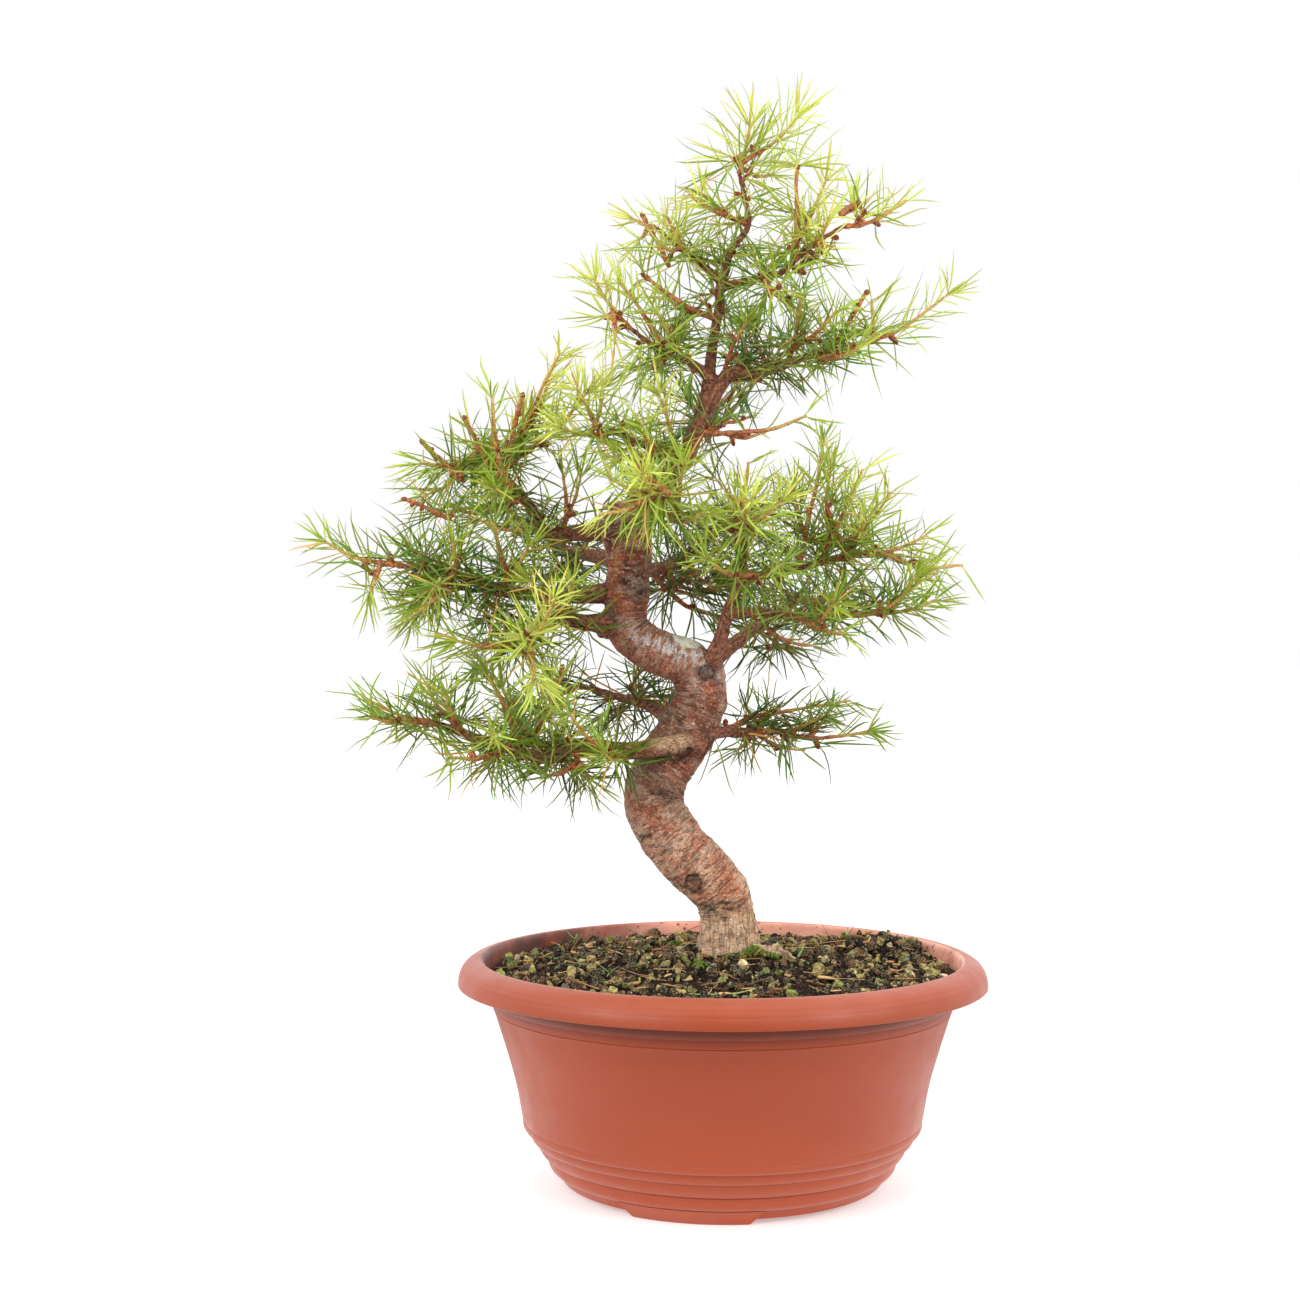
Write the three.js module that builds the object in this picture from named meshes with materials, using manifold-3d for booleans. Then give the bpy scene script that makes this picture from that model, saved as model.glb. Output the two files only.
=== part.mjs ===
// A young larch (Larix) grown as a bonsai in a round plastic training bowl. Millimetres, +Z up. The plant
// is laid out round the bowl's axis, with z = 0 under the feet and the front towards -Y. At the end the
// whole group is moved so that the middle of its box stands at the origin.
import * as THREE from "three";
import { ConvexGeometry } from "three/addons/geometries/ConvexGeometry.js";
import { mergeVertices } from "three/addons/utils/BufferGeometryUtils.js";
import Module from "manifold-3d";

const wasm = await Module();
wasm.setup();

// ------------------------------------------------------------------------------ driving dimensions

const SEAT_GAP = 0.35; // clearance between two pieces that touch
const MERGE_DISTANCE = 1e-4;

// Bowl. Its profile is a list of [radius, height] points.
const RIM_RADIUS = 150; // sharp lower edge of the rolled rim
const LIP_RADIUS = 137.9; // highest line of the rim
const POT_HEIGHT = 127;
const WALL = 3;
const WALL_FOOT = { radius: 113.4, height: 37 }; // the plain flared wall starts here, above the steps
const WALL_MIDDLE_HEIGHT = 66;
const WALL_TOP = { radius: 129.4, height: 95 }; // and ends here, under the band
const WALL_CURVE = 0.48; // share of the flare that grows with the square of the height
const BAND_RADIUS = 134;
const FLOOR_TOP = 7.8;
const FLOOR_BOTTOM = 4.8;
const FOOT_RING = [[86, FLOOR_BOTTOM], [87, 2.5], [91, 2.5], [92.5, 7.5]];
const STEP_NOTCHES = [[95.5, 8], [99, 15.5], [105, 24], [109.5, 30.5], [113.3, 35.5]];
const STEP_BULGE = 1.1;
const BAND = [[131, 100], [BAND_RADIUS - 0.5, 102.5], [BAND_RADIUS, 112]];
const RIM = [
  [136.6, 119.5], [143, 119.5], [147.8, 112.5], [RIM_RADIUS, 112.5], [148.6, 118], [144.4, 124],
  [LIP_RADIUS + 2.2, 126.4], [LIP_RADIUS, POT_HEIGHT], [135.7, 125.4], [133.3, 117],
];
const BAND_INSIDE = [[BAND_RADIUS - WALL, 109], [130.2, 103]];
const FLOOR_EDGE_INSIDE = [[102, 26], [92, 13], [86, FLOOR_TOP]];
const BOWL_SECTORS = 30;
const FOOT_AZIMUTHS = [-13, 107, 227]; // degrees from the front towards +X
// Across the bottom and the top of a foot: its height, its inner and outer radius, and half of the angle that
// it spans. Its ends slope outwards as they rise.
const FOOT_SECTIONS = [
  { height: 0, radii: [84, 92], halfAngle: 20 },
  { height: 7.9, radii: [84, 95.3], halfAngle: 25 },
];
const DRAIN_RADIUS = 5;
const DRAIN_SIDES = 8;
const DRAIN_CUT = 20; // length of the cut through the floor
const DRAIN_CIRCLE = 55;
const DRAIN_COUNT = 4;

// Soil
const SOIL_EDGE = 118.5;
const SOIL_CROWN = 129;
const SOIL_RADIUS = 132.6;
const SOIL_RINGS = 12;
const GRAIN = 2.6; // height of the grains of the mix
const GRAIN_HASH = { x: 12.9898, y: 78.233, scale: 43758.5453 }; // scatters the grains' heights

// Trunk: centre line and radius. It bends right, left, right and left again up to the chopped top.
const TRUNK = [
  [3, 0, 98, 12], [3, 0, 120, 16], [3, 0, 134, 16.4], [3, 0, 150, 15.2], [0, -1, 162, 15.8],
  [-9, -2, 173, 16.8], [-22, -3, 187, 17], [-34, -2, 202, 16.8], [-39.5, 0, 216, 16.7],
  [-35, 2, 232, 17], [-24, 3, 249, 16.4], [-14.5, 2, 266, 15.3], [-12, 0, 281, 14.6],
  [-19, -1, 293, 13.6], [-33, -1, 299, 12.8], [-44, -1, 304, 12.5], [-52, 0, 311, 12.2],
  [-55, 1, 322, 12.2], [-54, 1, 336, 12.7], [-53, 2, 352, 13], [-54, 3, 368, 14], [-53, 3, 379, 11.5],
  [-51, 3, 385, 6],
];
const TRUNK_SIDES = 12;
// Low ridges of the bark: how many round the trunk, their height as a share of its radius, and the mm of
// height over which they turn by a radian.
const RIDGES = [{ count: 3, height: 0.03, pitch: 17 }, { count: 5, height: 0.02, pitch: -9 }];
// The buttresses of the roots, which die out towards the top. spread is a share of the trunk's radius.
const ROOT_FLARE = { lobes: 5, turn: 0.6, spread: 0.25, top: 152, height: 40 };
const KNEE = { at: [-12, 0, 287], radius: 14.6 }; // rounded stump where an older leader was cut off
const KNOTS = [
  { at: [-16, -17.5, 169], radius: 4.5 },
  { at: [-20, -12, 244], radius: 4 },
  { at: [-9, -12.5, 288], radius: 5 },
  { at: [-67, 0, 312], radius: 5 },
];
const SURFACE_ROOT = [[10, -6, 128, 4.5], [22, -11, 129, 3.2], [34, -14, 127.5, 2.4], [44, -13, 122, 1.6]];

// The thin leader that carries the tree on from the chopped top.
const LEADER = [
  [-54, 3, 366, 10], [-50, 3, 379, 9], [-44, 2, 390, 7.6], [-33, 2, 399, 6.2], [-21, 2, 410, 5.4],
  [-15, 2, 427, 5.4], [-8, 2, 444, 4.7], [-6.5, 2, 464, 3.4], [-5, 1, 478, 3.1], [-2, 0, 495, 2.8],
  [-1, 0, 509, 2.6], [3, 0, 519, 2.3], [5, 0, 529, 2.2], [15, 0, 543, 1.9], [13, 0, 560, 1.7],
  [10, 0, 573, 1.5],
];

// Main branches: the points of the centre line, and the radius at the first and the last of them.
const BRANCHES = {
  low_left: {
    radii: [6, 2],
    line: [
      [-16, -8, 249], [-31, -20, 247], [-55, -32, 245], [-82, -38, 248], [-97, -42, 242],
      [-120, -44, 247], [-144, -46, 256], [-161, -48, 262],
    ],
  },
  low_right: { radii: [4.2, 1.8], line: [[-16, 4, 252], [2, 24, 253], [19, 40, 252], [39, 48, 252]] },
  low_back: { radii: [4, 1.8], line: [[-18, 6, 263], [-35, 34, 265], [-58, 56, 272], [-79, 70, 278]] },
  left_mid: {
    radii: [5.5, 2],
    line: [[-60, 0, 317], [-78, -10, 317], [-92, -22, 319], [-104, -36, 310], [-112, -48, 299]],
  },
  left_long: {
    radii: [5.5, 1.8],
    line: [[-58, 4, 334], [-92, 2, 332], [-127, -8, 336], [-155, -16, 344], [-179, -20, 348]],
  },
  left_top: {
    radii: [5.5, 1.8],
    line: [
      [-58, 6, 370], [-83, 14, 369], [-101, 18, 370], [-110, 16, 384], [-125, 10, 399], [-134, 4, 406],
    ],
  },
  left_back: {
    radii: [5, 1.8],
    line: [[-58, 8, 353], [-75, 44, 357], [-96, 76, 365], [-113, 98, 376]],
  },
  shoulder: {
    radii: [3.4, 1.6],
    line: [[-20, 2, 413], [-31, -6, 413], [-43, -14, 415], [-58, -20, 424]],
  },
  upper_left: {
    radii: [2.6, 1.5],
    line: [[-7, 2, 457], [-16, -4, 463], [-33, -10, 470], [-52, -14, 482]],
  },
  crown_left: {
    radii: [2.2, 1.4],
    line: [[-1, 0, 512], [-13, 6, 524], [-24, 10, 534], [-38, 12, 545]],
  },
  crown_right: {
    radii: [2.3, 1.4],
    line: [[-1, 0, 508], [14, -6, 511], [32, -14, 514], [43, -18, 522], [55, -20, 531], [68, -18, 539]],
  },
  upper_right: {
    radii: [4.8, 1.7],
    line: [
      [-9, 2, 442], [-1, 4, 452], [7, 4, 460], [19, 2, 459], [33, 0, 463], [48, -2, 468],
      [66, -4, 472],
    ],
  },
  upper_back: { radii: [3, 1.6], line: [[-14, 3, 427], [-7, 40, 430], [3, 76, 439]] },
  front: { radii: [4.5, 1.8], line: [[-50, 0, 376], [-40, -34, 377], [-30, -66, 383]] },
  knee_rise: {
    radii: [5, 2],
    line: [
      [-11, -3, 288], [-4, -10, 300], [0, -14, 310], [4, -18, 325], [10, -24, 341], [10, -30, 355],
      [6, -38, 368],
    ],
  },
  knee_right: { radii: [5, 2], line: [[-8, 1, 294], [10, 14, 307], [27, 30, 318], [48, 48, 331]] },
  right_low: { radii: [3, 1.7], line: [[4, -18, 322], [20, -20, 322], [43, -22, 320], [72, -20, 322]] },
  right_mid: { radii: [3, 1.7], line: [[10, -24, 340], [29, -18, 344], [56, -10, 350], [80, -4, 356]] },
  right_back: { radii: [4, 1.8], line: [[-50, 3, 345], [-30, 30, 350], [-12, 54, 362], [4, 74, 378]] },
};
const BRANCH_SIDES = 6;
const LEADER_SIDES = 6;

// Sprays: where each leaves its branch (0 at the first point of the branch, 1 at the last), and where its
// shoots end. The first shoot is the longest, and the others fork from it. New growth is bright, inner
// growth is dark.
const SPRAYS = {
  low_left: [
    { at: 1, tone: "new", tips: [[-203, -52, 279], [-192, -78, 266]] },
    { at: 0.86, tone: "leaf", tips: [[-152, -66, 281], [-168, -22, 284]] },
    { at: 0.72, tone: "leaf", tips: [[-123, -98, 258], [-150, -88, 244]] },
    { at: 0.58, tone: "new", tips: [[-126, -26, 284], [-88, -50, 291]] },
    { at: 0.44, tone: "dark", tips: [[-72, -58, 222], [-104, -70, 224]] },
    { at: 0.3, tone: "leaf", tips: [[-66, -86, 246], [-86, -84, 270]] },
    { at: 0.5, tone: "dark", tips: [[-116, 10, 262], [-88, 2, 240]] },
  ],
  low_right: [
    { at: 1, tone: "leaf", tips: [[93, 38, 253], [71, 66, 270]] },
    { at: 0.6, tone: "leaf", tips: [[34, 112, 270], [58, 92, 238], [10, 84, 236]] },
  ],
  low_back: [
    { at: 1, tone: "dark", tips: [[-106, 82, 285], [-118, 50, 270]] },
    { at: 0.55, tone: "dark", tips: [[-50, 118, 290], [-24, 96, 272], [-76, 104, 258]] },
  ],
  left_mid: [
    { at: 1, tone: "new", tips: [[-89, -92, 331], [-101, -88, 282]] },
    { at: 0.85, tone: "leaf", tips: [[-150, -60, 306], [-140, -30, 290]] },
    { at: 0.5, tone: "leaf", tips: [[-82, -58, 340], [-110, -46, 342]] },
  ],
  left_long: [
    { at: 1, tone: "new", tips: [[-227, -26, 363], [-196, -44, 330]] },
    { at: 0.84, tone: "leaf", tips: [[-182, 26, 364], [-170, 22, 326]] },
    { at: 0.7, tone: "leaf", tips: [[-149, -48, 363], [-160, -56, 334]] },
    { at: 0.5, tone: "leaf", tips: [[-104, -52, 362], [-128, -40, 376]] },
    { at: 0.55, tone: "dark", tips: [[-138, 34, 317], [-108, 40, 306]] },
  ],
  left_top: [
    { at: 1, tone: "leaf", tips: [[-145, -2, 432], [-175, -16, 406], [-176, 12, 386]] },
    { at: 0.84, tone: "new", tips: [[-112, 14, 440], [-72, -26, 448], [-96, -4, 458]] },
    { at: 0.3, tone: "leaf", tips: [[-79, -6, 404], [-92, 24, 408]] },
    { at: 0.66, tone: "leaf", tips: [[-128, -40, 391], [-152, -22, 378]] },
  ],
  left_back: [
    { at: 1, tone: "dark", tips: [[-154, 112, 384], [-102, 136, 401]] },
    { at: 0.55, tone: "dark", tips: [[-92, 124, 346], [-128, 88, 342], [-68, 84, 392]] },
  ],
  shoulder: [
    { at: 1, tone: "new", tips: [[-95, -34, 424], [-84, -30, 450], [-66, 4, 456]] },
    { at: 0.5, tone: "leaf", tips: [[-46, -64, 424], [-62, -50, 404]] },
  ],
  upper_left: [
    { at: 1, tone: "new", tips: [[-75, -18, 513], [-84, -34, 488], [-66, -48, 464]] },
    { at: 0.6, tone: "leaf", tips: [[-48, 34, 466], [-24, 26, 484]] },
  ],
  crown_left: [
    { at: 1, tone: "new", tips: [[-56, 14, 552], [-50, 32, 540]] },
    { at: 0.5, tone: "new", tips: [[-34, -20, 548], [-36, -26, 526]] },
  ],
  crown_right: [
    { at: 1, tone: "new", tips: [[108, -16, 556], [74, 14, 562]] },
    { at: 0.72, tone: "new", tips: [[56, -62, 535], [76, -44, 522]] },
    { at: 0.55, tone: "new", tips: [[42, -18, 576], [62, 4, 574]] },
    { at: 0.3, tone: "leaf", tips: [[30, -48, 498], [46, 10, 496]] },
  ],
  upper_right: [
    { at: 1, tone: "new", tips: [[134, 0, 507], [88, 20, 508]] },
    { at: 0.72, tone: "leaf", tips: [[46, -18, 506], [66, -32, 492]] },
    { at: 0.86, tone: "leaf", tips: [[78, -36, 468], [98, -18, 478]] },
    { at: 0.56, tone: "dark", tips: [[43, 54, 486], [16, 40, 498]] },
  ],
  upper_back: [{ at: 1, tone: "dark", tips: [[-20, 108, 460], [30, 112, 450], [20, 82, 472]] }],
  front: [
    { at: 1, tone: "new", tips: [[-46, -124, 392], [-66, -92, 392], [-72, -72, 372]] },
    { at: 0.62, tone: "leaf", tips: [[-10, -104, 372], [-22, -88, 402]] },
  ],
  knee_rise: [
    { at: 1, tone: "new", tips: [[12, -100, 380], [34, -66, 384]] },
    { at: 0.72, tone: "leaf", tips: [[30, -82, 346], [-14, -82, 350]] },
  ],
  knee_right: [
    { at: 1, tone: "dark", tips: [[84, 80, 341], [60, 96, 318], [34, 92, 340]] },
    { at: 0.6, tone: "dark", tips: [[60, 44, 302], [30, 70, 300]] },
  ],
  right_low: [
    { at: 1, tone: "leaf", tips: [[125, -14, 330], [108, -46, 344]] },
    { at: 0.62, tone: "leaf", tips: [[82, -48, 302], [60, -62, 328]] },
  ],
  right_mid: [
    { at: 1, tone: "new", tips: [[122, 4, 368], [146, 30, 350]] },
    { at: 0.5, tone: "leaf", tips: [[58, -14, 424], [40, 4, 396]] },
    { at: 0.78, tone: "new", tips: [[98, -8, 394], [78, -46, 376]] },
  ],
  right_back: [
    { at: 1, tone: "dark", tips: [[48, 106, 398], [34, 126, 372], [-4, 100, 412]] },
    { at: 0.5, tone: "dark", tips: [[2, 62, 336], [-40, 76, 336]] },
  ],
  leader: [
    { at: 1, tone: "new", tips: [[17, -4, 604], [47, -6, 607], [2, 14, 586], [34, 26, 578]] },
    { at: 0.87, tone: "new", tips: [[-16, 6, 566], [-22, -10, 560]] },
    { at: 0.58, tone: "leaf", tips: [[-46, -6, 514], [-36, 26, 510]] },
    { at: 0.33, tone: "leaf", tips: [[52, -12, 434], [30, 22, 428]] },
  ],
};
const TWIG_RADII = [1.6, 1];
const TWIG_SIDES = 3;
const TWIG_SAG = 0.08; // share of its length by which a twig hangs below its chord before the tip turns up
const FORK_AT = [0.3, 0.5, 0.15]; // where the second, the third and the fourth shoot leave the first

// Needles: three-sided, straight and pointed, in whorls. Each is raised from half of a facet of a narrow
// band of the twig, so a whorl has two for each side of the twig, and the twig ends just past its last
// whorl.
const NEEDLE_LENGTH = [25, 33];
const NEEDLE_RADIUS = 0.7;
const NEEDLE_ROOT = 0.2; // share of a needle that may be close to the others of its whorl
const NEEDLE_SEAT = 0.7; // its middle line starts at this share of the twig's radius
const FACET_PLACES = [0.75, 0.25]; // where the lower and upper halves of a facet face in its angle
const WHORL_SPACING = 21;
const WHORL_HEIGHT = 0.9;
const WHORL_TURN = 36; // degrees from one whorl to the next
const WHORL_ENDS = [0.28, 0.93]; // first and last whorl, as shares of the twig
const NEEDLE_LEANS = [[64, 80], [40, 56]]; // degrees from the twig's direction, lower and upper halves
const NEEDLE_STRAY = 14; // degrees that a needle may turn from its even place
const LEAST_RISE = 0.3; // of a needle from its facet, as a share of its length
const TRIES = 14; // a needle with no clear place after this many draws is left out
const NEEDLE_CLEARANCE = 0.35;
const SEED = 7;

// Colours, roughness and metalness
const FINISH = {
  pot: { color: 0xb9593c, roughness: 0.5, metalness: 0 },
  soil: { color: 0x4b3d2c, roughness: 0.95, metalness: 0 },
  wood: { color: 0x8d6551, roughness: 0.85, metalness: 0 },
  dark: { color: 0x4d7531, roughness: 0.6, metalness: 0 },
  leaf: { color: 0x7ba045, roughness: 0.6, metalness: 0 },
  new: { color: 0xb3c957, roughness: 0.6, metalness: 0 },
};

// ------------------------------------------------------------------------------------- small tools

const radians = THREE.MathUtils.degToRad;
const lerp = THREE.MathUtils.lerp;
const vector = (point) => new THREE.Vector3(point[0], point[1], point[2]);
const FIRST_ACROSS = new THREE.Vector3(1, 0.2, 0.1); // side of a tube on which its first corner lies
const NEARLY_PARALLEL = 1e-9;

// A repeatable stream of numbers from 0 to 1 (mulberry32).
function randomStream(seed) {
  let state = seed;
  return () => {
    state = (state + 0x6d2b79f5) | 0;
    let t = Math.imul(state ^ (state >>> 15), 1 | state);
    t = (t + Math.imul(t ^ (t >>> 7), 61 | t)) ^ t;
    return ((t ^ (t >>> 14)) >>> 0) / 2 ** 32;
  };
}

// A smooth line through the points.
function spline(points) {
  return new THREE.CatmullRomCurve3(points.map(vector), false, "catmullrom", 0.5);
}

// A closed geometry as a solid, with shared corners merged, slivers dropped and its faces turned outwards.
function solid(geometry) {
  const bare = new THREE.BufferGeometry();
  bare.setAttribute("position", geometry.getAttribute("position"));
  bare.setIndex(geometry.getIndex());
  const merged = mergeVertices(bare, MERGE_DISTANCE);
  const corners = merged.getAttribute("position").array;
  const index = merged.getIndex().array;
  const kept = [];
  let volume = 0;
  const [a, b, c] = [new THREE.Vector3(), new THREE.Vector3(), new THREE.Vector3()];
  for (let i = 0; i < index.length; i += 3) {
    const [p, q, r] = index.slice(i, i + 3);
    if (p === q || q === r || r === p) continue;
    kept.push(p, q, r);
    a.fromArray(corners, 3 * p);
    b.fromArray(corners, 3 * q);
    c.fromArray(corners, 3 * r);
    volume += a.dot(b.cross(c));
  }
  if (volume < 0) kept.reverse();
  const mesh = new wasm.Mesh({
    numProp: 3,
    vertProperties: Float32Array.from(corners),
    triVerts: Uint32Array.from(kept),
  });
  return new wasm.Manifold(mesh);
}

// The biggest body of a solid: what a cut leaves loose is dropped.
function biggestBody(shape) {
  return shape.decompose().reduce((best, body) => (body.volume() > best.volume() ? body : best));
}

function geometryOf(shape) {
  const mesh = shape.getMesh();
  const geometry = new THREE.BufferGeometry();
  geometry.setAttribute("position", new THREE.BufferAttribute(mesh.vertProperties, 3));
  geometry.setIndex(new THREE.BufferAttribute(mesh.triVerts, 1));
  geometry.computeVertexNormals();
  return geometry;
}

function namedMesh(name, shape, finish) {
  const mesh = new THREE.Mesh(geometryOf(shape), new THREE.MeshStandardMaterial(FINISH[finish]));
  mesh.name = name;
  return mesh;
}

// A profile of [radius, height] points turned round the Z axis.
function turned(profile, sectors) {
  const lathe = new THREE.LatheGeometry(profile.map(([r, z]) => new THREE.Vector2(r, z)), sectors);
  return lathe.rotateX(Math.PI / 2);
}

// Frames along a smooth line of [x, y, z, radius] points, at the given shares of its way. turn is in
// degrees a frame.
function framesAlong(points, shares, turn = 0) {
  const line = spline(points);
  const spans = points.length - 1;
  let across = FIRST_ACROSS;
  return shares.map((share) => {
    const span = Math.min(Math.floor(share * spans), spans - 1);
    const radius = lerp(points[span][3], points[span + 1][3], share * spans - span);
    const along = line.getTangent(share);
    across = across.clone().projectOnPlane(along).normalize().applyAxisAngle(along, radians(turn));
    return { centre: line.getPoint(share), along, across, radius };
  });
}

// The closed skin of a tube through the frames. relief(angle, centre) scales the radius, and
// apexOver(band, side, half, normal) may give a point to which that triangle of the skin is raised.
function skin(frames, sides, relief = () => 1, apexOver = () => null) {
  const positions = [];
  const index = [];
  const raise = (corners, band, side, half) => {
    const facet = corners.map((corner) => new THREE.Vector3().fromArray(positions, 3 * corner));
    const normal = new THREE.Triangle(...facet).getNormal(new THREE.Vector3());
    const apex = apexOver(band, side, half, normal);
    if (!apex) {
      index.push(...corners);
      return;
    }
    const [p, q, r] = corners;
    const top = positions.push(...apex.toArray()) / 3 - 1;
    index.push(p, q, top, q, r, top, r, p, top);
  };
  for (const { centre, along, across, radius } of frames) {
    const up = along.clone().cross(across);
    for (let k = 0; k < sides; k += 1) {
      const angle = (2 * Math.PI * k) / sides;
      const reach = radius * relief(angle, centre);
      const corner = centre.clone().addScaledVector(across, reach * Math.cos(angle));
      positions.push(...corner.addScaledVector(up, reach * Math.sin(angle)).toArray());
    }
  }
  for (let band = 0; band < frames.length - 1; band += 1) {
    const [low, high] = [band * sides, (band + 1) * sides];
    for (let k = 0; k < sides; k += 1) {
      const next = (k + 1) % sides;
      raise([low + k, low + next, high + next], band, k, 0);
      raise([low + k, high + next, high + k], band, k, 1);
    }
  }
  const top = (frames.length - 1) * sides;
  for (let k = 1; k < sides - 1; k += 1) {
    index.push(0, k + 1, k, top, top + k, top + k + 1);
  }
  const geometry = new THREE.BufferGeometry();
  geometry.setAttribute("position", new THREE.Float32BufferAttribute(positions, 3));
  geometry.setIndex(index);
  return solid(geometry);
}

// A tube along a smooth line of [x, y, z, radius] points, or one that is thicker all round.
function sweep(points, sides, grow = 0, relief = () => 1) {
  const count = points.length - 1;
  const shares = Array.from({ length: count + 1 }, (_, i) => i / count);
  const frames = framesAlong(points, shares);
  for (const frame of frames) {
    frame.radius += grow;
  }
  frames[0].centre.addScaledVector(frames[0].along, -grow);
  frames[count].centre.addScaledVector(frames[count].along, grow);
  return skin(frames, sides, relief);
}

function ball(centre, radius, detail) {
  return solid(new THREE.IcosahedronGeometry(radius, detail).translate(...centre));
}

// -------------------------------------------------------------------------------------------- bowl

// Radius of the plain wall's outside at a height.
function wallRadius(height) {
  const t = (height - WALL_FOOT.height) / (WALL_TOP.height - WALL_FOOT.height);
  const flare = WALL_TOP.radius - WALL_FOOT.radius;
  return WALL_FOOT.radius + flare * ((1 - WALL_CURVE) * t + WALL_CURVE * t * t);
}

// The three rings low on the wall: each stretch between two notches bulges out.
function steppedRings() {
  return STEP_NOTCHES.flatMap(([radius, height], i) => {
    if (i === 0) return [[radius, height]];
    const [lastRadius, lastHeight] = STEP_NOTCHES[i - 1];
    const bulge = [(radius + lastRadius) / 2 + STEP_BULGE, (height + lastHeight) / 2 - STEP_BULGE];
    return [bulge, [radius, height]];
  });
}

// The plain wall from its foot to its top, thinner by the given amount.
function wallLine(thinner) {
  return [WALL_FOOT.height, WALL_MIDDLE_HEIGHT, WALL_TOP.height].map((z) => [wallRadius(z) - thinner, z]);
}

// The inside of the bowl, from the band down to the middle of its floor.
function insideProfile() {
  return [...BAND_INSIDE, ...wallLine(WALL).reverse(), ...FLOOR_EDGE_INSIDE, [0, FLOOR_TOP]];
}

function potProfile() {
  return [
    [0, FLOOR_BOTTOM],
    ...FOOT_RING,
    ...steppedRings(),
    ...wallLine(0),
    ...BAND,
    ...RIM,
    ...insideProfile(),
  ];
}

// One of the three feet: a low block that follows the foot ring.
function foot(azimuth) {
  const corners = [];
  for (const { height, radii, halfAngle } of FOOT_SECTIONS) {
    for (const radius of radii) {
      for (const share of [-1, -0.5, 0, 0.5, 1]) {
        const angle = radians(azimuth + share * halfAngle);
        corners.push(new THREE.Vector3(radius * Math.sin(angle), -radius * Math.cos(angle), height));
      }
    }
  }
  return solid(new ConvexGeometry(corners));
}

function buildPot() {
  let pot = solid(turned(potProfile(), BOWL_SECTORS));
  for (const azimuth of FOOT_AZIMUTHS) {
    pot = pot.add(foot(azimuth));
  }
  // A ring of drain holes, and one in the middle.
  for (let i = 0; i <= DRAIN_COUNT; i += 1) {
    const angle = (2 * Math.PI * i) / DRAIN_COUNT;
    const distance = i === DRAIN_COUNT ? 0 : DRAIN_CIRCLE;
    const hole = new THREE.CylinderGeometry(DRAIN_RADIUS, DRAIN_RADIUS, DRAIN_CUT, DRAIN_SIDES);
    hole.rotateX(Math.PI / 2).translate(distance * Math.cos(angle), distance * Math.sin(angle), FLOOR_TOP);
    pot = pot.subtract(solid(hole));
  }
  return pot;
}

// -------------------------------------------------------------------------------------------- soil

// Height of the grain at a place: the same for the same place.
function grain(x, y) {
  const value = Math.sin(x * GRAIN_HASH.x + y * GRAIN_HASH.y) * GRAIN_HASH.scale;
  return GRAIN * (value - Math.floor(value) - 0.5);
}

// The soil fills the bowl and mounds up towards the trunk.
function buildSoil(rootBall) {
  const profile = insideProfile().map(([r, z]) => [Math.max(0, r - SEAT_GAP), z + SEAT_GAP]).reverse();
  for (let i = SOIL_RINGS; i >= 0; i -= 1) {
    const share = i / SOIL_RINGS;
    const mound = (SOIL_CROWN - SOIL_EDGE) * (0.5 + 0.5 * Math.cos(Math.PI * share));
    profile.push([SOIL_RADIUS * share, SOIL_EDGE + mound]);
  }
  const bare = turned(profile, BOWL_SECTORS);
  bare.deleteAttribute("normal");
  bare.deleteAttribute("uv");
  const soil = mergeVertices(bare, MERGE_DISTANCE);
  const corners = soil.getAttribute("position");
  for (let i = 0; i < corners.count; i += 1) {
    if (corners.getZ(i) >= SOIL_EDGE - MERGE_DISTANCE) {
      corners.setZ(i, corners.getZ(i) + grain(corners.getX(i), corners.getY(i)));
    }
  }
  return biggestBody(solid(soil).subtract(rootBall));
}

// -------------------------------------------------------------------------------------------- wood

// Bark: long low ridges round the trunk, and the buttresses of the roots at its foot.
function trunkRelief(angle, centre) {
  const ridge = ({ count, height, pitch }) => height * Math.sin(count * angle + centre.z / pitch);
  const flare = THREE.MathUtils.clamp((ROOT_FLARE.top - centre.z) / ROOT_FLARE.height, 0, 1);
  const lobe = Math.max(0, Math.cos(ROOT_FLARE.lobes * angle + ROOT_FLARE.turn));
  return RIDGES.reduce((sum, row) => sum + ridge(row), 1 + ROOT_FLARE.spread * flare * lobe);
}

function branchPoints({ line, radii }) {
  return line.map((point, i) => [...point, lerp(radii[0], radii[1], i / (line.length - 1))]);
}

// The whole woody plant, or a copy of it that is thicker all round.
function buildWood(grow = 0) {
  let wood = sweep(TRUNK, TRUNK_SIDES, grow, trunkRelief);
  wood = wood.add(ball(KNEE.at, KNEE.radius + grow, 1));
  wood = wood.add(sweep(LEADER, LEADER_SIDES, grow));
  wood = wood.add(sweep(SURFACE_ROOT, BRANCH_SIDES, grow));
  for (const { at, radius } of KNOTS) {
    wood = wood.add(ball(at, radius + grow, 0));
  }
  for (const branch of Object.values(BRANCHES)) {
    wood = wood.add(sweep(branchPoints(branch), BRANCH_SIDES, grow));
  }
  return wood;
}

// ------------------------------------------------------------------------------------------ sprays

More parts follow.
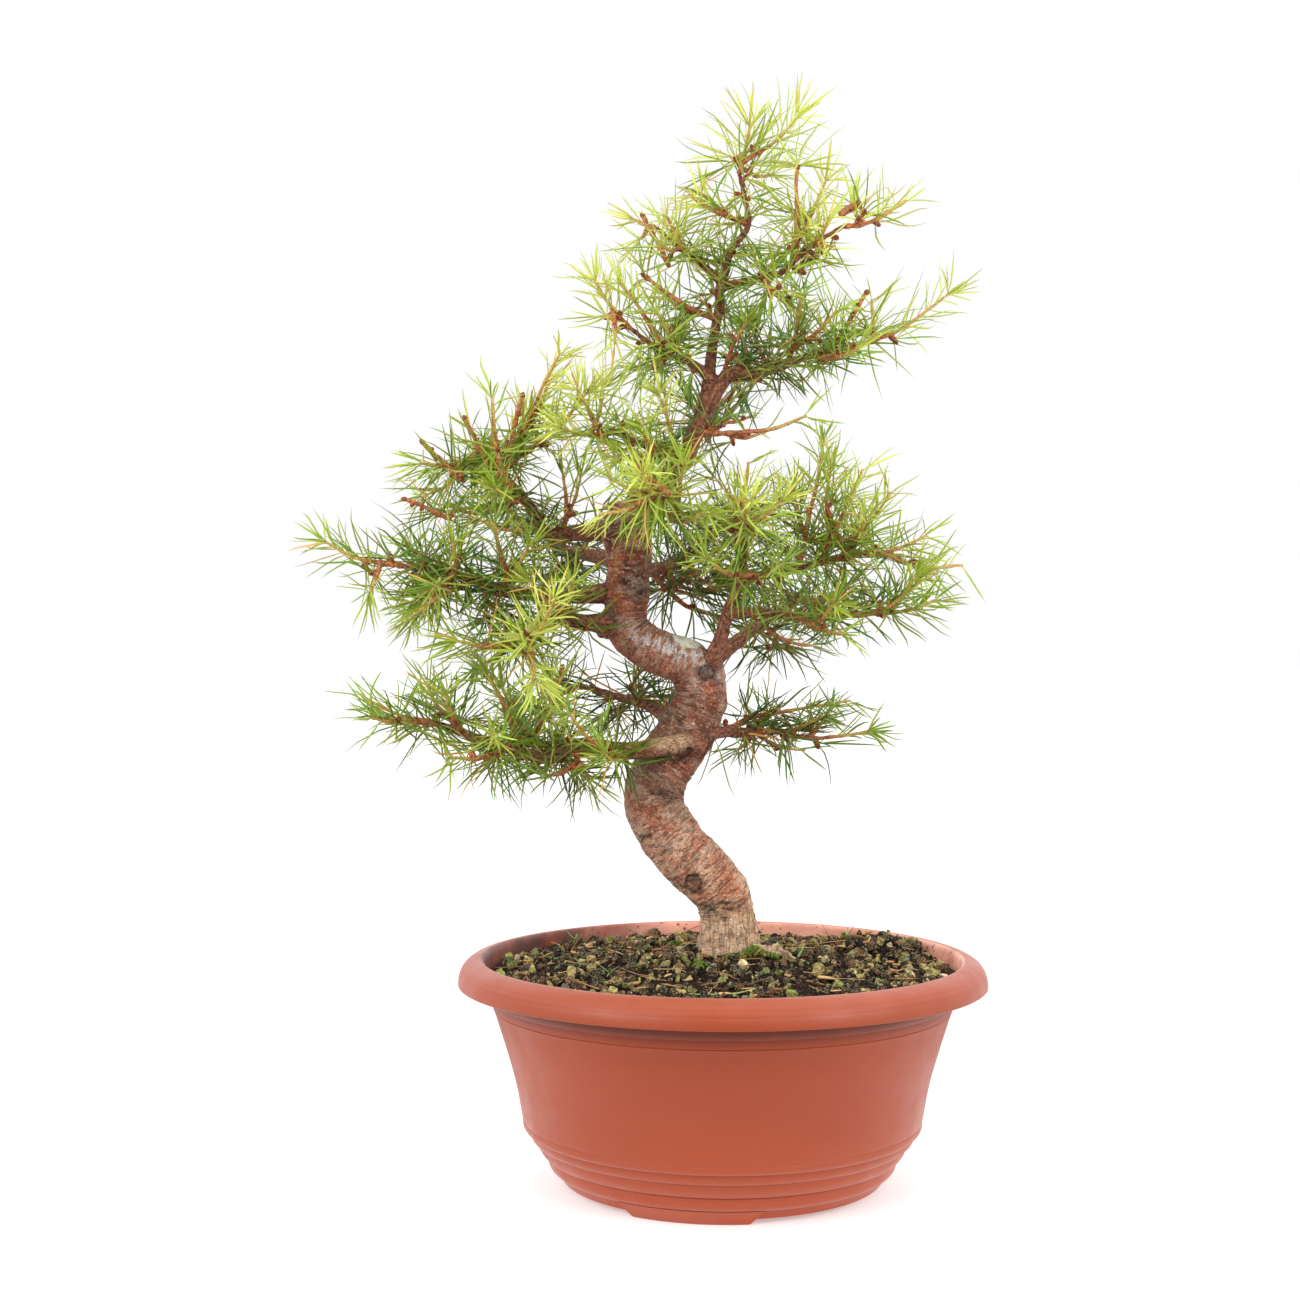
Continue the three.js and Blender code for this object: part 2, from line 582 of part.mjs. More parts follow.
// The twigs of a spray, each as [x, y, z, radius] points: a slightly sagging line whose tip turns up.
function twigsOf(branchLine, { at, tips }) {
  const [thick, thin] = TWIG_RADII;
  const root = branchLine.getPoint(at);
  const between = (from, to, share) => {
    const sag = 4 * share * (1 - share) * TWIG_SAG * from.distanceTo(to);
    const point = from.clone().lerp(to, share);
    return [point.x, point.y, point.z - sag, lerp(thick, thin, share)];
  };
  const stem = [0, 1 / 3, 2 / 3, 1].map((share) => between(root, vector(tips[0]), share));
  const forks = tips.slice(1).map((tip, i) => {
    const start = spline(stem).getPoint(FORK_AT[i]);
    return [0, 0.5, 1].map((share) => between(start, vector(tip), share));
  });
  return [stem, ...forks];
}

// Shortest distance between the stretches a-b and c-d.
function distanceBetween(a, b, c, d) {
  const u = b.clone().sub(a);
  const v = d.clone().sub(c);
  const w = a.clone().sub(c);
  const [uu, vv, uv] = [u.dot(u), v.dot(v), u.dot(v)];
  const [uw, vw] = [u.dot(w), v.dot(w)];
  const spread = uu * vv - uv * uv;
  let s = spread > NEARLY_PARALLEL ? THREE.MathUtils.clamp((uv * vw - vv * uw) / spread, 0, 1) : 0;
  const t = THREE.MathUtils.clamp((uv * s + vw) / vv, 0, 1);
  s = THREE.MathUtils.clamp((uv * t - uw) / uu, 0, 1);
  return w.addScaledVector(u, s).addScaledVector(v, -t).length();
}

// The stretches of a tube, each with its ends, its radius and the twig or wood that it belongs to.
function stretches(points, owner) {
  const line = spline(points);
  const found = [];
  const count = 2 * (points.length - 1);
  for (let i = 0; i < count; i += 1) {
    const radius = Math.max(points[Math.floor(i / 2)][3], points[Math.ceil((i + 1) / 2)][3]);
    found.push({ owner, radius, from: line.getPoint(i / count), to: line.getPoint((i + 1) / count) });
  }
  return found;
}

// A needle keeps clear of the wood, of every other twig and, past its root, of its neighbours on its own
// twig.
function isClear(from, to, owner, obstacles) {
  const free = from.clone().lerp(to, NEEDLE_ROOT);
  return obstacles.every((other) => {
    if (other.owner === owner && !other.isNeedle) return true;
    const start = other.owner === owner ? free : from;
    const apart = distanceBetween(start, to, other.from, other.to);
    return apart >= other.radius + NEEDLE_RADIUS + NEEDLE_CLEARANCE;
  });
}

// Draws the tip of the needle on one half of a facet of a whorl, or nothing where no place is clear. The
// needle always rises from its facet.
function needleTip({ centre, along, across, radius }, { side, half, normal }, owner, obstacles, random) {
  for (let attempt = 0; attempt < TRIES; attempt += 1) {
    const stray = (random() - 0.5) * 2 * NEEDLE_STRAY;
    const even = (360 * (side + FACET_PLACES[half])) / TWIG_SIDES;
    const outwards = across.clone().applyAxisAngle(along, radians(even + stray));
    const lean = radians(lerp(...NEEDLE_LEANS[half], random()));
    const length = lerp(...NEEDLE_LENGTH, random());
    const from = centre.clone().addScaledVector(outwards, radius * NEEDLE_SEAT);
    const way = along.clone().multiplyScalar(Math.cos(lean)).addScaledVector(outwards, Math.sin(lean));
    way.addScaledVector(normal, Math.max(0, LEAST_RISE - way.dot(normal)));
    const to = from.clone().addScaledVector(way, length);
    if (!isClear(from, to, owner, obstacles)) continue;
    obstacles.push({ owner, isNeedle: true, radius: NEEDLE_RADIUS, from: from.lerp(to, NEEDLE_ROOT), to });
    return to;
  }
  return null;
}

// A twig with its whorls of needles.
function needledTwig(twig, owner, obstacles, random) {
  const length = spline(twig).getLength();
  const whorls = Math.max(2, Math.round(length / WHORL_SPACING));
  const halfBand = WHORL_HEIGHT / 2 / length;
  const shares = [0];
  for (let i = 0; i < whorls; i += 1) {
    const share = lerp(...WHORL_ENDS, i / (whorls - 1));
    shares.push(share - halfBand, share + halfBand);
  }
  shares.push(1);
  const frames = framesAlong(twig, shares, WHORL_TURN / 2);
  return skin(frames, TWIG_SIDES, () => 1, (band, side, half, normal) => {
    const isWhorl = band % 2 === 1;
    return isWhorl ? needleTip(frames[band], { side, half, normal }, owner, obstacles, random) : null;
  });
}

function buildSprays(grownWood) {
  const random = randomStream(SEED);
  const lines = { leader: spline(LEADER) };
  const obstacles = [TRUNK, LEADER].flatMap((points) => stretches(points, "wood"));
  for (const [name, branch] of Object.entries(BRANCHES)) {
    lines[name] = spline(branch.line);
    obstacles.push(...stretches(branchPoints(branch), "wood"));
  }
  const sprays = [];
  for (const [branch, rows] of Object.entries(SPRAYS)) {
    rows.forEach((row, i) => {
      const name = `spray_${branch}_${i + 1}`;
      sprays.push({ name, tone: row.tone, twigs: twigsOf(lines[branch], row) });
    });
  }
  for (const { name, twigs } of sprays) {
    obstacles.push(...twigs.flatMap((twig, i) => stretches(twig, `${name} ${i}`)));
  }
  return sprays.map(({ name, tone, twigs }) => {
    const shoots = twigs.map((twig, i) => needledTwig(twig, `${name} ${i}`, obstacles, random));
    const spray = shoots.reduce((sum, shoot) => sum.add(shoot));
    return namedMesh(name, biggestBody(spray.subtract(grownWood)), tone);
  });
}

// ---------------------------------------------------------------------------------------- the part

const grownWood = buildWood(SEAT_GAP);
const bonsai = new THREE.Group();
bonsai.add(namedMesh("pot", buildPot(), "pot"));
bonsai.add(namedMesh("soil", buildSoil(grownWood), "soil"));
bonsai.add(namedMesh("wood", buildWood(), "wood"));
bonsai.add(...buildSprays(grownWood));

const box = new THREE.Box3().setFromObject(bonsai);
const middle = box.getCenter(new THREE.Vector3());
bonsai.position.set(-middle.x, -middle.y, -box.min.z);

export default bonsai;
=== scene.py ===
"""A young larch grown as a bonsai in a round plastic training bowl. Metres, +Z up."""
import math

import bpy
import numpy as np
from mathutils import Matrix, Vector, noise


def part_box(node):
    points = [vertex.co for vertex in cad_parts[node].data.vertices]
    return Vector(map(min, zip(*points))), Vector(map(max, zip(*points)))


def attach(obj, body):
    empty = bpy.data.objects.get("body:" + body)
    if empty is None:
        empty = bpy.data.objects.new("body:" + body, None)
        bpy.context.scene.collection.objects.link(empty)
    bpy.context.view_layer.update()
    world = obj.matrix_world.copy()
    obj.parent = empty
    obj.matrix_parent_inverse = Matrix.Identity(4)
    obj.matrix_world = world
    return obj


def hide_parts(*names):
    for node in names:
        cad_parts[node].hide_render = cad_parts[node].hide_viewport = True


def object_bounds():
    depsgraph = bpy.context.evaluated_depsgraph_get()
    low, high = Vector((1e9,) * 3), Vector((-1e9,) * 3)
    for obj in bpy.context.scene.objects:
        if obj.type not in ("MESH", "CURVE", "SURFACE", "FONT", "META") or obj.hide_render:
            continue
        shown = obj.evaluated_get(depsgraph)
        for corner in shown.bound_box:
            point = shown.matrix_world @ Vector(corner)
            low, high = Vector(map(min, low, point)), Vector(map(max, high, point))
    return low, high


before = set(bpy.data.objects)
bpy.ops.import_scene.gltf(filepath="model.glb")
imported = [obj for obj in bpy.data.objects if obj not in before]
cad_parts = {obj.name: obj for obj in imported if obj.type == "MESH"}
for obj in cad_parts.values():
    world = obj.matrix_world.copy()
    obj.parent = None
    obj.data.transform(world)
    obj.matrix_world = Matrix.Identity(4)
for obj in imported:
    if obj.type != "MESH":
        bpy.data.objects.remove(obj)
solids_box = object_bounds()

# ------------------------------------------------------------------------------ places and sizes
# The tables give millimetres from the foot of the bowl's axis, with the front towards -Y.

MM = 0.001
BOWL_LOW, BOWL_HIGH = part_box("pot")
AXIS = np.array([(BOWL_LOW[0] + BOWL_HIGH[0]) / 2, (BOWL_LOW[1] + BOWL_HIGH[1]) / 2, 0])
SEED = 7
noise.seed_set(SEED)

# Trunk and leader: centre line and radius.
TRUNK = [
    (3, 0, 98, 12), (3, 0, 120, 16), (3, 0, 134, 16.4), (3, 0, 150, 15.2), (0, -1, 162, 15.8),
    (-9, -2, 173, 16.8), (-22, -3, 187, 17), (-34, -2, 202, 16.8), (-39.5, 0, 216, 16.7),
    (-35, 2, 232, 17), (-24, 3, 249, 16.4), (-14.5, 2, 266, 15.3), (-12, 0, 281, 14.6),
    (-19, -1, 293, 13.6), (-33, -1, 299, 12.8), (-44, -1, 304, 12.5), (-52, 0, 311, 12.2),
    (-55, 1, 322, 12.2), (-54, 1, 336, 12.7), (-53, 2, 352, 13), (-54, 3, 368, 14),
    (-53, 3, 379, 11.5), (-51, 3, 385, 6),
]
LEADER = [
    (-54, 3, 366, 10), (-50, 3, 379, 9), (-44, 2, 390, 7.6), (-33, 2, 399, 6.2), (-21, 2, 410, 5.4),
    (-15, 2, 427, 5.4), (-8, 2, 444, 4.7), (-6.5, 2, 464, 3.4), (-5, 1, 478, 3.1), (-2, 0, 495, 2.8),
    (-1, 0, 509, 2.6), (3, 0, 519, 2.3), (5, 0, 529, 2.2), (15, 0, 543, 1.9), (13, 0, 560, 1.7),
    (10, 0, 573, 1.5),
]
SURFACE_ROOT = [(10, -6, 128, 4.5), (22, -11, 129, 3.2), (34, -14, 127.5, 2.4), (44, -13, 122, 1.6)]
# Branches: the radius at both ends, and the centre line.
BRANCHES = {
    "low_left": ((6, 2), [
        (-16, -8, 249), (-31, -20, 247), (-55, -32, 245), (-82, -38, 248), (-97, -42, 242),
        (-120, -44, 247), (-144, -46, 256), (-161, -48, 262),
    ]),
    "low_right": ((4.2, 1.8), [(-16, 4, 252), (2, 24, 253), (19, 40, 252), (39, 48, 252)]),
    "low_back": ((4, 1.8), [(-18, 6, 263), (-35, 34, 265), (-58, 56, 272), (-79, 70, 278)]),
    "left_mid": ((5.5, 2), [
        (-60, 0, 317), (-78, -10, 317), (-92, -22, 319), (-104, -36, 310), (-112, -48, 299),
    ]),
    "left_long": ((5.5, 1.8), [
        (-58, 4, 334), (-92, 2, 332), (-127, -8, 336), (-155, -16, 344), (-179, -20, 348),
    ]),
    "left_top": ((5.5, 1.8), [
        (-58, 6, 370), (-83, 14, 369), (-101, 18, 370), (-110, 16, 384), (-125, 10, 399),
        (-134, 4, 406),
    ]),
    "left_back": ((5, 1.8), [(-58, 8, 353), (-75, 44, 357), (-96, 76, 365), (-113, 98, 376)]),
    "shoulder": ((3.4, 1.6), [(-20, 2, 413), (-31, -6, 413), (-43, -14, 415), (-58, -20, 424)]),
    "upper_left": ((2.6, 1.5), [(-7, 2, 457), (-16, -4, 463), (-33, -10, 470), (-52, -14, 482)]),
    "crown_left": ((2.2, 1.4), [(-1, 0, 512), (-13, 6, 524), (-24, 10, 534), (-38, 12, 545)]),
    "crown_right": ((2.3, 1.4), [
        (-1, 0, 508), (14, -6, 511), (32, -14, 514), (43, -18, 522), (55, -20, 531), (68, -18, 539),
    ]),
    "upper_right": ((4.8, 1.7), [
        (-9, 2, 442), (-1, 4, 452), (7, 4, 460), (19, 2, 459), (33, 0, 463), (48, -2, 468),
        (66, -4, 472),
    ]),
    "upper_back": ((3, 1.6), [(-14, 3, 427), (-7, 40, 430), (3, 76, 439)]),
    "front": ((4.5, 1.8), [(-50, 0, 376), (-40, -34, 377), (-30, -66, 383)]),
    "knee_rise": ((5, 2), [
        (-11, -3, 288), (-4, -10, 300), (0, -14, 310), (4, -18, 325), (10, -24, 341), (10, -30, 355),
        (6, -38, 368),
    ]),
    "knee_right": ((5, 2), [(-8, 1, 294), (10, 14, 307), (27, 30, 318), (48, 48, 331)]),
    "right_low": ((3, 1.7), [(4, -18, 322), (20, -20, 322), (43, -22, 320), (72, -20, 322)]),
    "right_mid": ((3, 1.7), [(10, -24, 340), (29, -18, 344), (56, -10, 350), (80, -4, 356)]),
    "right_back": ((4, 1.8), [(-50, 3, 345), (-30, 30, 350), (-12, 54, 362), (4, 74, 378)]),
}
# The sprays of each branch: where each starts as a share of the branch's length, its kind, and where its
# twigs end.
SPRAYS = {
    "low_left": [
        (1, "new", [(-203, -52, 279), (-192, -78, 266)]),
        (0.86, "leaf", [(-152, -66, 281), (-168, -22, 284)]),
        (0.72, "leaf", [(-123, -98, 258), (-150, -88, 244)]),
        (0.58, "new", [(-126, -26, 284), (-88, -50, 291)]),
        (0.44, "dark", [(-72, -58, 227), (-100, -66, 232)]),
        (0.3, "leaf", [(-66, -86, 246), (-86, -84, 270)]),
        (0.5, "dark", [(-116, 10, 262), (-88, 2, 240)]),
    ],
    "low_right": [
        (1, "leaf", [(93, 38, 253), (71, 66, 270)]),
        (0.6, "leaf", [(34, 112, 270), (58, 92, 238), (10, 84, 236)]),
    ],
    "low_back": [
        (1, "dark", [(-106, 82, 285), (-118, 50, 270)]),
        (0.55, "dark", [(-50, 118, 290), (-24, 96, 272), (-76, 104, 258)]),
    ],
    "left_mid": [
        (1, "new", [(-89, -92, 331), (-101, -88, 282)]),
        (0.85, "leaf", [(-150, -60, 306), (-140, -30, 290)]),
        (0.5, "leaf", [(-82, -58, 340), (-110, -46, 342)]),
    ],
    "left_long": [
        (1, "new", [(-227, -26, 363), (-196, -44, 330)]),
        (0.84, "leaf", [(-182, 26, 364), (-170, 22, 326)]),
        (0.7, "leaf", [(-149, -48, 363), (-160, -56, 334)]),
        (0.5, "leaf", [(-104, -52, 362), (-128, -40, 376)]),
        (0.55, "dark", [(-138, 34, 317), (-108, 40, 306)]),
    ],
    "left_top": [
        (1, "leaf", [(-145, -2, 432), (-175, -16, 406), (-176, 12, 386)]),
        (0.84, "new", [(-112, 14, 440), (-72, -26, 448), (-96, -4, 458)]),
        (0.3, "leaf", [(-79, -6, 404), (-92, 24, 408)]),
        (0.66, "leaf", [(-128, -40, 391), (-152, -22, 378)]),
    ],
    "left_back": [
        (1, "dark", [(-154, 112, 384), (-102, 136, 401)]),
        (0.55, "dark", [(-92, 124, 346), (-128, 88, 342), (-68, 84, 392)]),
    ],
    "shoulder": [
        (1, "new", [(-95, -34, 424), (-84, -30, 450), (-66, 4, 456)]),
        (0.5, "leaf", [(-46, -64, 424), (-62, -50, 404)]),
    ],
    "upper_left": [
        (1, "new", [(-75, -18, 513), (-68, -32, 487), (-60, -46, 466)]),
        (0.6, "leaf", [(-48, 34, 466), (-24, 26, 484)]),
    ],
    "crown_left": [
        (1, "new", [(-56, 14, 552), (-50, 32, 540)]),
        (0.5, "new", [(-34, -20, 548), (-36, -26, 526)]),
    ],
    "crown_right": [
        (1, "new", [(108, -16, 556), (74, 14, 562)]),
        (0.72, "new", [(56, -62, 535), (64, -44, 522)]),
        (0.55, "new", [(42, -18, 576), (62, 4, 574)]),
        (0.3, "leaf", [(30, -48, 498), (46, 10, 496)]),
    ],
    "upper_right": [
        (1, "new", [(134, 0, 507), (88, 20, 508)]),
        (0.72, "leaf", [(46, -18, 506), (66, -32, 492)]),
        (0.86, "leaf", [(78, -36, 468), (92, -18, 480)]),
        (0.56, "dark", [(43, 54, 486), (16, 40, 498)]),
    ],
    "upper_back": [
        (1, "dark", [(-20, 108, 460), (30, 112, 450), (20, 82, 472)]),
    ],
    "front": [
        (1, "new", [(-46, -124, 392), (-66, -92, 392), (-72, -72, 372)]),
        (0.62, "leaf", [(-10, -104, 372), (-22, -88, 402)]),
    ],
    "knee_rise": [
        (1, "new", [(12, -100, 380), (34, -66, 384)]),
        (0.72, "leaf", [(30, -82, 346), (-14, -82, 350)]),
    ],
    "knee_right": [
        (1, "dark", [(84, 80, 341), (60, 96, 318), (34, 92, 340)]),
        (0.6, "dark", [(60, 44, 302), (30, 70, 300)]),
    ],
    "right_low": [
        (1, "leaf", [(125, -14, 330), (108, -46, 344)]),
        (0.62, "leaf", [(70, -48, 308), (60, -62, 328)]),
    ],
    "right_mid": [
        (1, "new", [(122, 4, 368), (146, 30, 350)]),
        (0.5, "leaf", [(58, -14, 424), (40, 4, 396)]),
        (0.78, "new", [(98, -8, 394), (78, -46, 376)]),
    ],
    "right_back": [
        (1, "dark", [(48, 106, 398), (34, 126, 372), (-4, 100, 412)]),
        (0.5, "dark", [(2, 62, 336), (-40, 76, 336)]),
    ],
    "leader": [
        (1, "new", [(17, -4, 604), (47, -6, 607), (2, 14, 586), (34, 26, 578)]),
        (0.87, "new", [(-16, 6, 566), (-22, -10, 560)]),
        (0.58, "leaf", [(-46, -6, 514), (-36, 26, 510)]),
        (0.33, "leaf", [(52, -12, 434), (30, 22, 428)]),
    ],
}

# Shoots that end bare, with a bud: the spray that each belongs to, its two ends and its radius.
BARE_SHOOTS = {
    "upper_right_2": [((66, 2, 476), (82, -4, 504), 1.4)],
    "left_top_1": [((-124, -8, 398), (-113, -14, 444), 1.5)],
    "left_top_3": [((-132, -6, 402), (-145, -16, 431), 1.3)],
    "crown_left_1": [((-30, 0, 520), (-45, -8, 547), 1.4)],
    "front_1": [((-31, -98, 382), (-46, -106, 395), 1.5)],
    "left_top_4": [((-146, -14, 396), (-168, -24, 417), 1.3), ((-152, -26, 374), (-176, -38, 384), 1.2)],
    "low_left_4": [((-97, -44, 262), (-89, -48, 291), 1.2)],
    "crown_right_1": [((66, -18, 545), (75, -18, 551), 2.1)],
    "crown_right_4": [((40, -12, 515), (57, -14, 526), 1.7)],
}
# Sprays whose stem is bare wood with a bud at its end, and needles in whorls alone.
BARE_STEMS = ("leader_3", "crown_right_3", "crown_right_4")
# More twigs of a spray.
MORE_TWIGS = {
    "upper_right_4": [
        [(2, 4, 462), (6, -10, 472), (12, -24, 484)], [(8, 4, 460), (16, 22, 470), (14, 34, 484)],
    ],
    "shoulder_1": [[(-26, -4, 414), (-30, -12, 428), (-36, -22, 444)]],
    "right_mid_3": [
        [(54, -12, 349), (66, -18, 374), (78, -22, 402)], [(66, -12, 362), (58, -20, 384), (60, -24, 402)],
    ],
    "left_long_3": [[(-140, -12, 340), (-156, -24, 332), (-172, -34, 320)]],
    "left_long_2": [[(-150, -14, 342), (-166, 4, 334), (-180, 14, 328)]],
    "right_back_2": [
        [(-34, 34, 348), (-18, 58, 338), (4, 62, 339)], [(-38, 26, 344), (-30, 54, 338), (-12, 68, 334)],
        [(-4, 64, 350), (0, 70, 338), (-18, 78, 334)], [(-30, 60, 337), (-18, 74, 327), (-2, 80, 322)],
    ],
    "left_top_2": [[(-114, 8, 420), (-104, -6, 446), (-92, -12, 468)]],
    "upper_left_1": [[(-33, -10, 470), (-46, -14, 492), (-58, -14, 508)]],
    "upper_left_2": [[(-24, -6, 468), (-30, -12, 480), (-38, -20, 492)]],
    "knee_right_2": [[(10, 14, 307), (22, 34, 312), (36, 40, 304)]],
    "low_left_2": [[(-112, -40, 250), (-120, -46, 270), (-130, -50, 288)]],
    "low_left_1": [[(-156, -48, 260), (-170, -56, 262), (-186, -64, 264)]],
    "knee_rise_1": [[(6, -38, 366), (10, -52, 384), (12, -62, 402)]],
    "left_top_4": [[(-120, -20, 392), (-126, -34, 416), (-128, -40, 440)]],
    "right_low_1": [[(60, -21, 321), (84, -30, 322), (104, -34, 334)]],
    "low_right_1": [
        [(4, 30, 254), (19, 42, 261), (45, 46, 265), (78, 46, 271)],
        [(20, 42, 252), (44, 40, 254), (62, 34, 262)],
    ],
}
# Where the viewer's eye is: across, up, and away from the plane of the trunk.
EYE = np.array([-41, 301, 1100])
# Hollows in the foliage as that eye sees them: their middle on the plane of the trunk, how far they reach,
# and the share of needles that is missing there.
HOLLOWS = [
    (-14, 603, 12, 0.7), (102, 581, 15, 0.9), (9, 582, 17, 0.85), (58, 603, 12, 0.6), (-34, 571, 18, 0.6),
    (8, 557, 16, 0.5), (33, 560, 11, 0.3), (57, 561, 15, 0.5), (119, 556, 21, 0.85), (-60, 549, 17, 0.55),
    (-38, 535, 15, 0.45), (80, 537, 19, 0.95), (104, 537, 14, 0.85), (-33, 512, 16, 0.5),
    (33, 512, 13, 0.2), (-12, 513, 13, 0.45), (-59, 508, 14, 0.3), (57, 512, 14, 0.6), (80, 512, 14, 0.75),
    (126, 506, 13, 0.5), (-80, 489, 15, 0.75), (-57, 484, 19, 0.7), (92, 488, 18, 0.45),
    (125, 489, 12, 0.5), (102, 466, 16, 0.8), (79, 463, 16, 0.6), (-114, 466, 20, 0.85), (33, 443, 15, 0.6),
    (56, 444, 14, 0.5), (80, 440, 18, 0.85), (-150, 440, 15, 0.7), (-128, 444, 14, 0.7),
    (-172, 420, 15, 0.65), (8, 421, 14, 0.9), (22, 421, 20, 0.85), (44, 424, 14, 0.6), (79, 418, 14, 0.85),
    (-104, 400, 15, 0.6), (-80, 392, 19, 0.65), (102, 397, 13, 0.5), (-10, 398, 13, 0.3),
    (-56, 375, 13, 0.3), (-81, 372, 13, 0.4), (-240, 376, 14, 0.6), (-172, 374, 12, 0.35),
    (-218, 352, 12, 0.35), (102, 372, 14, 0.35), (126, 374, 14, 0.75), (148, 352, 15, 0.9),
    (-218, 329, 16, 0.7), (-33, 329, 14, 0.5), (-12, 330, 16, 0.75), (124, 328, 14, 0.4),
    (56, 307, 13, 0.4), (78, 308, 14, 0.65), (103, 307, 15, 0.8), (34, 306, 13, 0.4), (-58, 285, 13, 0.4),
    (-218, 283, 15, 0.9), (-196, 284, 13, 0.5), (35, 284, 14, 0.65), (57, 284, 14, 0.5), (80, 283, 15, 0.9),
    (-218, 259, 17, 0.9), (-81, 284, 13, 0.4), (-81, 260, 13, 0.3), (-30, 249, 9, 0.6), (10, 261, 13, 0.4),
    (80, 258, 12, 0.4), (-149, 260, 13, 0.4), (-206, 240, 20, 0.9), (-174, 237, 15, 0.8),
    (10, 238, 14, 0.3), (34, 238, 14, 0.5), (56, 238, 14, 0.6), (80, 238, 14, 0.7), (-104, 214, 14, 0.8),
]
# How a spray differs from its kind: how much brighter it is, how much longer its needles are, and the
# share of them that is missing.
HABITS = {
    "leader_1": (-0.06, 1.25, 0), "left_long_1": (-0.24, 1.05, 0), "low_left_1": (-0.26, 1.15, 0),
    "left_mid_1": (0.1, 0.95, 0), "left_top_2": (0.08, 0.95, 0), "low_right_2": (0, 1, 0.3),
    "low_right_1": (-0.06, 0.95, 0), "left_long_4": (-0.08, 1, 0), "right_mid_1": (-0.1, 1, 0),
    "upper_right_1": (-0.08, 1, 0), "crown_right_1": (-0.06, 1, 0), "knee_rise_1": (0.02, 1, 0),
    "right_back_2": (0, 1.3, 0),
}
NO_HABIT = (0, 1, 0)
# How bright a spray's needles are, how much of each twig is this year's shoot, and the needles in a whorl.
TONES = {"dark": (0.17, 0.2, (11, 15)), "leaf": (0.41, 0.36, (12, 17)), "new": (0.64, 0.5, (15, 21))}
BRIGHTER_UP, CROWN = 0.18, (270, 590)  # by so much from the lowest needles to the crown
# Needles are darker towards the back: painted shade.
PAINTED_SHADE_TO_BACK, INSIDE = 0.1, (0, 70)  # and by so much from the middle to the back
DARKER_ON_WOOD = 0.12  # and by so much on the branch itself
# The share of a branch below which it has no spurs.
FIRST_SPUR = {"leader": 0.6, "knee_rise": 0.66, "knee_right": 0.5, "low_left": 0.44, "front": 0.35}
USUAL_FIRST_SPUR = 0.24
SPUR_SPACING, SPUR_SPACING_ON_WOOD, SPUR_SPACING_BARE = 14.5, 10, 8  # on twigs, branches, bare shoots
LEADER_RADII = (6, 1.5)  # where its spurs stand
FORK_AT = (0.3, 0.5, 0.15)  # where the second, third and fourth twig of a spray leave the first
TWIG_RADII = (1.75, 0.8)
TWIG_SAG = 0.08  # share of its length by which a twig hangs below its chord
TWIG_STEP, TWIG_SIDES = 2.4, 6  # from ring to ring of a twig, and the sides of a ring
FIRST_ON_TWIG = 3  # from the foot of a twig to its first spur
TIP_SHORT = 5  # a twig ends so far before the last of its needles
CROOKED = 1.5  # how far a twig strays from its line
NEEDLE_LENGTH, TUFT_LENGTH = (20, 33), (13, 25)  # in a whorl, and at the end of a shoot
SHOOT_LENGTH, SHORTER_AT_TIP = 26, 9  # the needles along this year's shoot
LEAST_LENGTH = 6  # needles that would be shorter are left out
NEEDLE_WIDTH, NEEDLE_FLAT = 0.67, 0.6  # half a needle's width, and the share of it that is its thickness
NEEDLES_A_MM = 0.9  # along this year's shoot
NEEDLE_RING = 0.9  # radius of the ring that a whorl's needles start from
NEEDLE_WAVE = 0.018  # as a share of the length
OVER_THE_TOP = 5  # how far needles may rise over the solids
STRAW_SHARE, DRY_SHARE = 0.02, 0.6  # of the needles: straw coloured, and a little dry
BUD_SHARE, LONG_SHARE = 0.75, 0.25  # of the whorls: with a bud, and with long needles that curl
FIRST_DRAW = 71  # the first spray's number for its random draws

# Scars of lost branches on the front of the trunk: place, radius and how dark they are round the scar.
KNOTS = [((-17, -19, 170), 5.8, 0.5), ((-20, -17.5, 245), 2.9, 0.6), ((-9, -15, 288.4), 4.8, 0.62)]
# Dark blotches of algae; the one at (-31, -14, 242) is partly dark bark and partly painted shadow under the
# low left branch. Place and size.
BLOTCHES = [
    ((-3.5, -16, 157), (11, 9, 4.6)), ((1.7, -17, 150), (4, 9, 1.8)), ((7, -16, 182), (4.5, 9, 3)),
    ((-44, -16, 196), (6, 9, 4)), ((-35, -16, 220), (9, 9, 3)), ((-45.5, -12, 333), (5, 9, 6)),
    ((-24, -14, 262), (6, 9, 3)), ((-31, -14, 242), (13, 9, 7)), ((-25, -16, 166), (6, 9, 7)),
]
CUT_PATCH = ((-18.5, -8, 307.2), (9.6, 9, 6))  # the pale sawn face on the knee
COLLAR = ((-30, -22, 250), (15, 12, 7))  # the paler collar of the low left branch
BLOOM_HEIGHT, BLOOM_DEPTH = 301, 15  # middle and spread of the band of white bloom
KNEE_AT, STUB_AT, STUB_SIZE = (-12, 0, 287), (-67, 0, 312), 0.36  # the stub is a smaller knee
VOXEL = 0.00102  # in metres, the grid that the wood is fused on
ROOT_RAISED = 2.2  # the surface root over its centre line above

SOIL_RADIUS = 131
SOIL_EDGE = 118.5  # height where there is no soil under a place
TRUNK_CLEAR, ROOT_CLEAR = 16, 3.6  # how far grains keep from the middle of the trunk and of the root
# The soil is heaped up here: the place, how far it reaches and how high.
HEAP = ((98, 62), 46, 8)
# A layer of grains: the space between them, their sizes, how high they sit as shares of the size, and how
# far they keep to patches.
CRUMBS = (2.9, (0.9, 1.9), (-0.2, 0.5), 0)
GRANULES = (4.3, (1.1, 4), (0.1, 0.8), 0.9)
# Dry needles and flakes of scale: how many, their lengths and widths, and how much they curl.
LITTER = [(170, (7, 19), (0.2, 0.42), 0.5), (110, (3, 7), (0.7, 1.3), 0.25)]
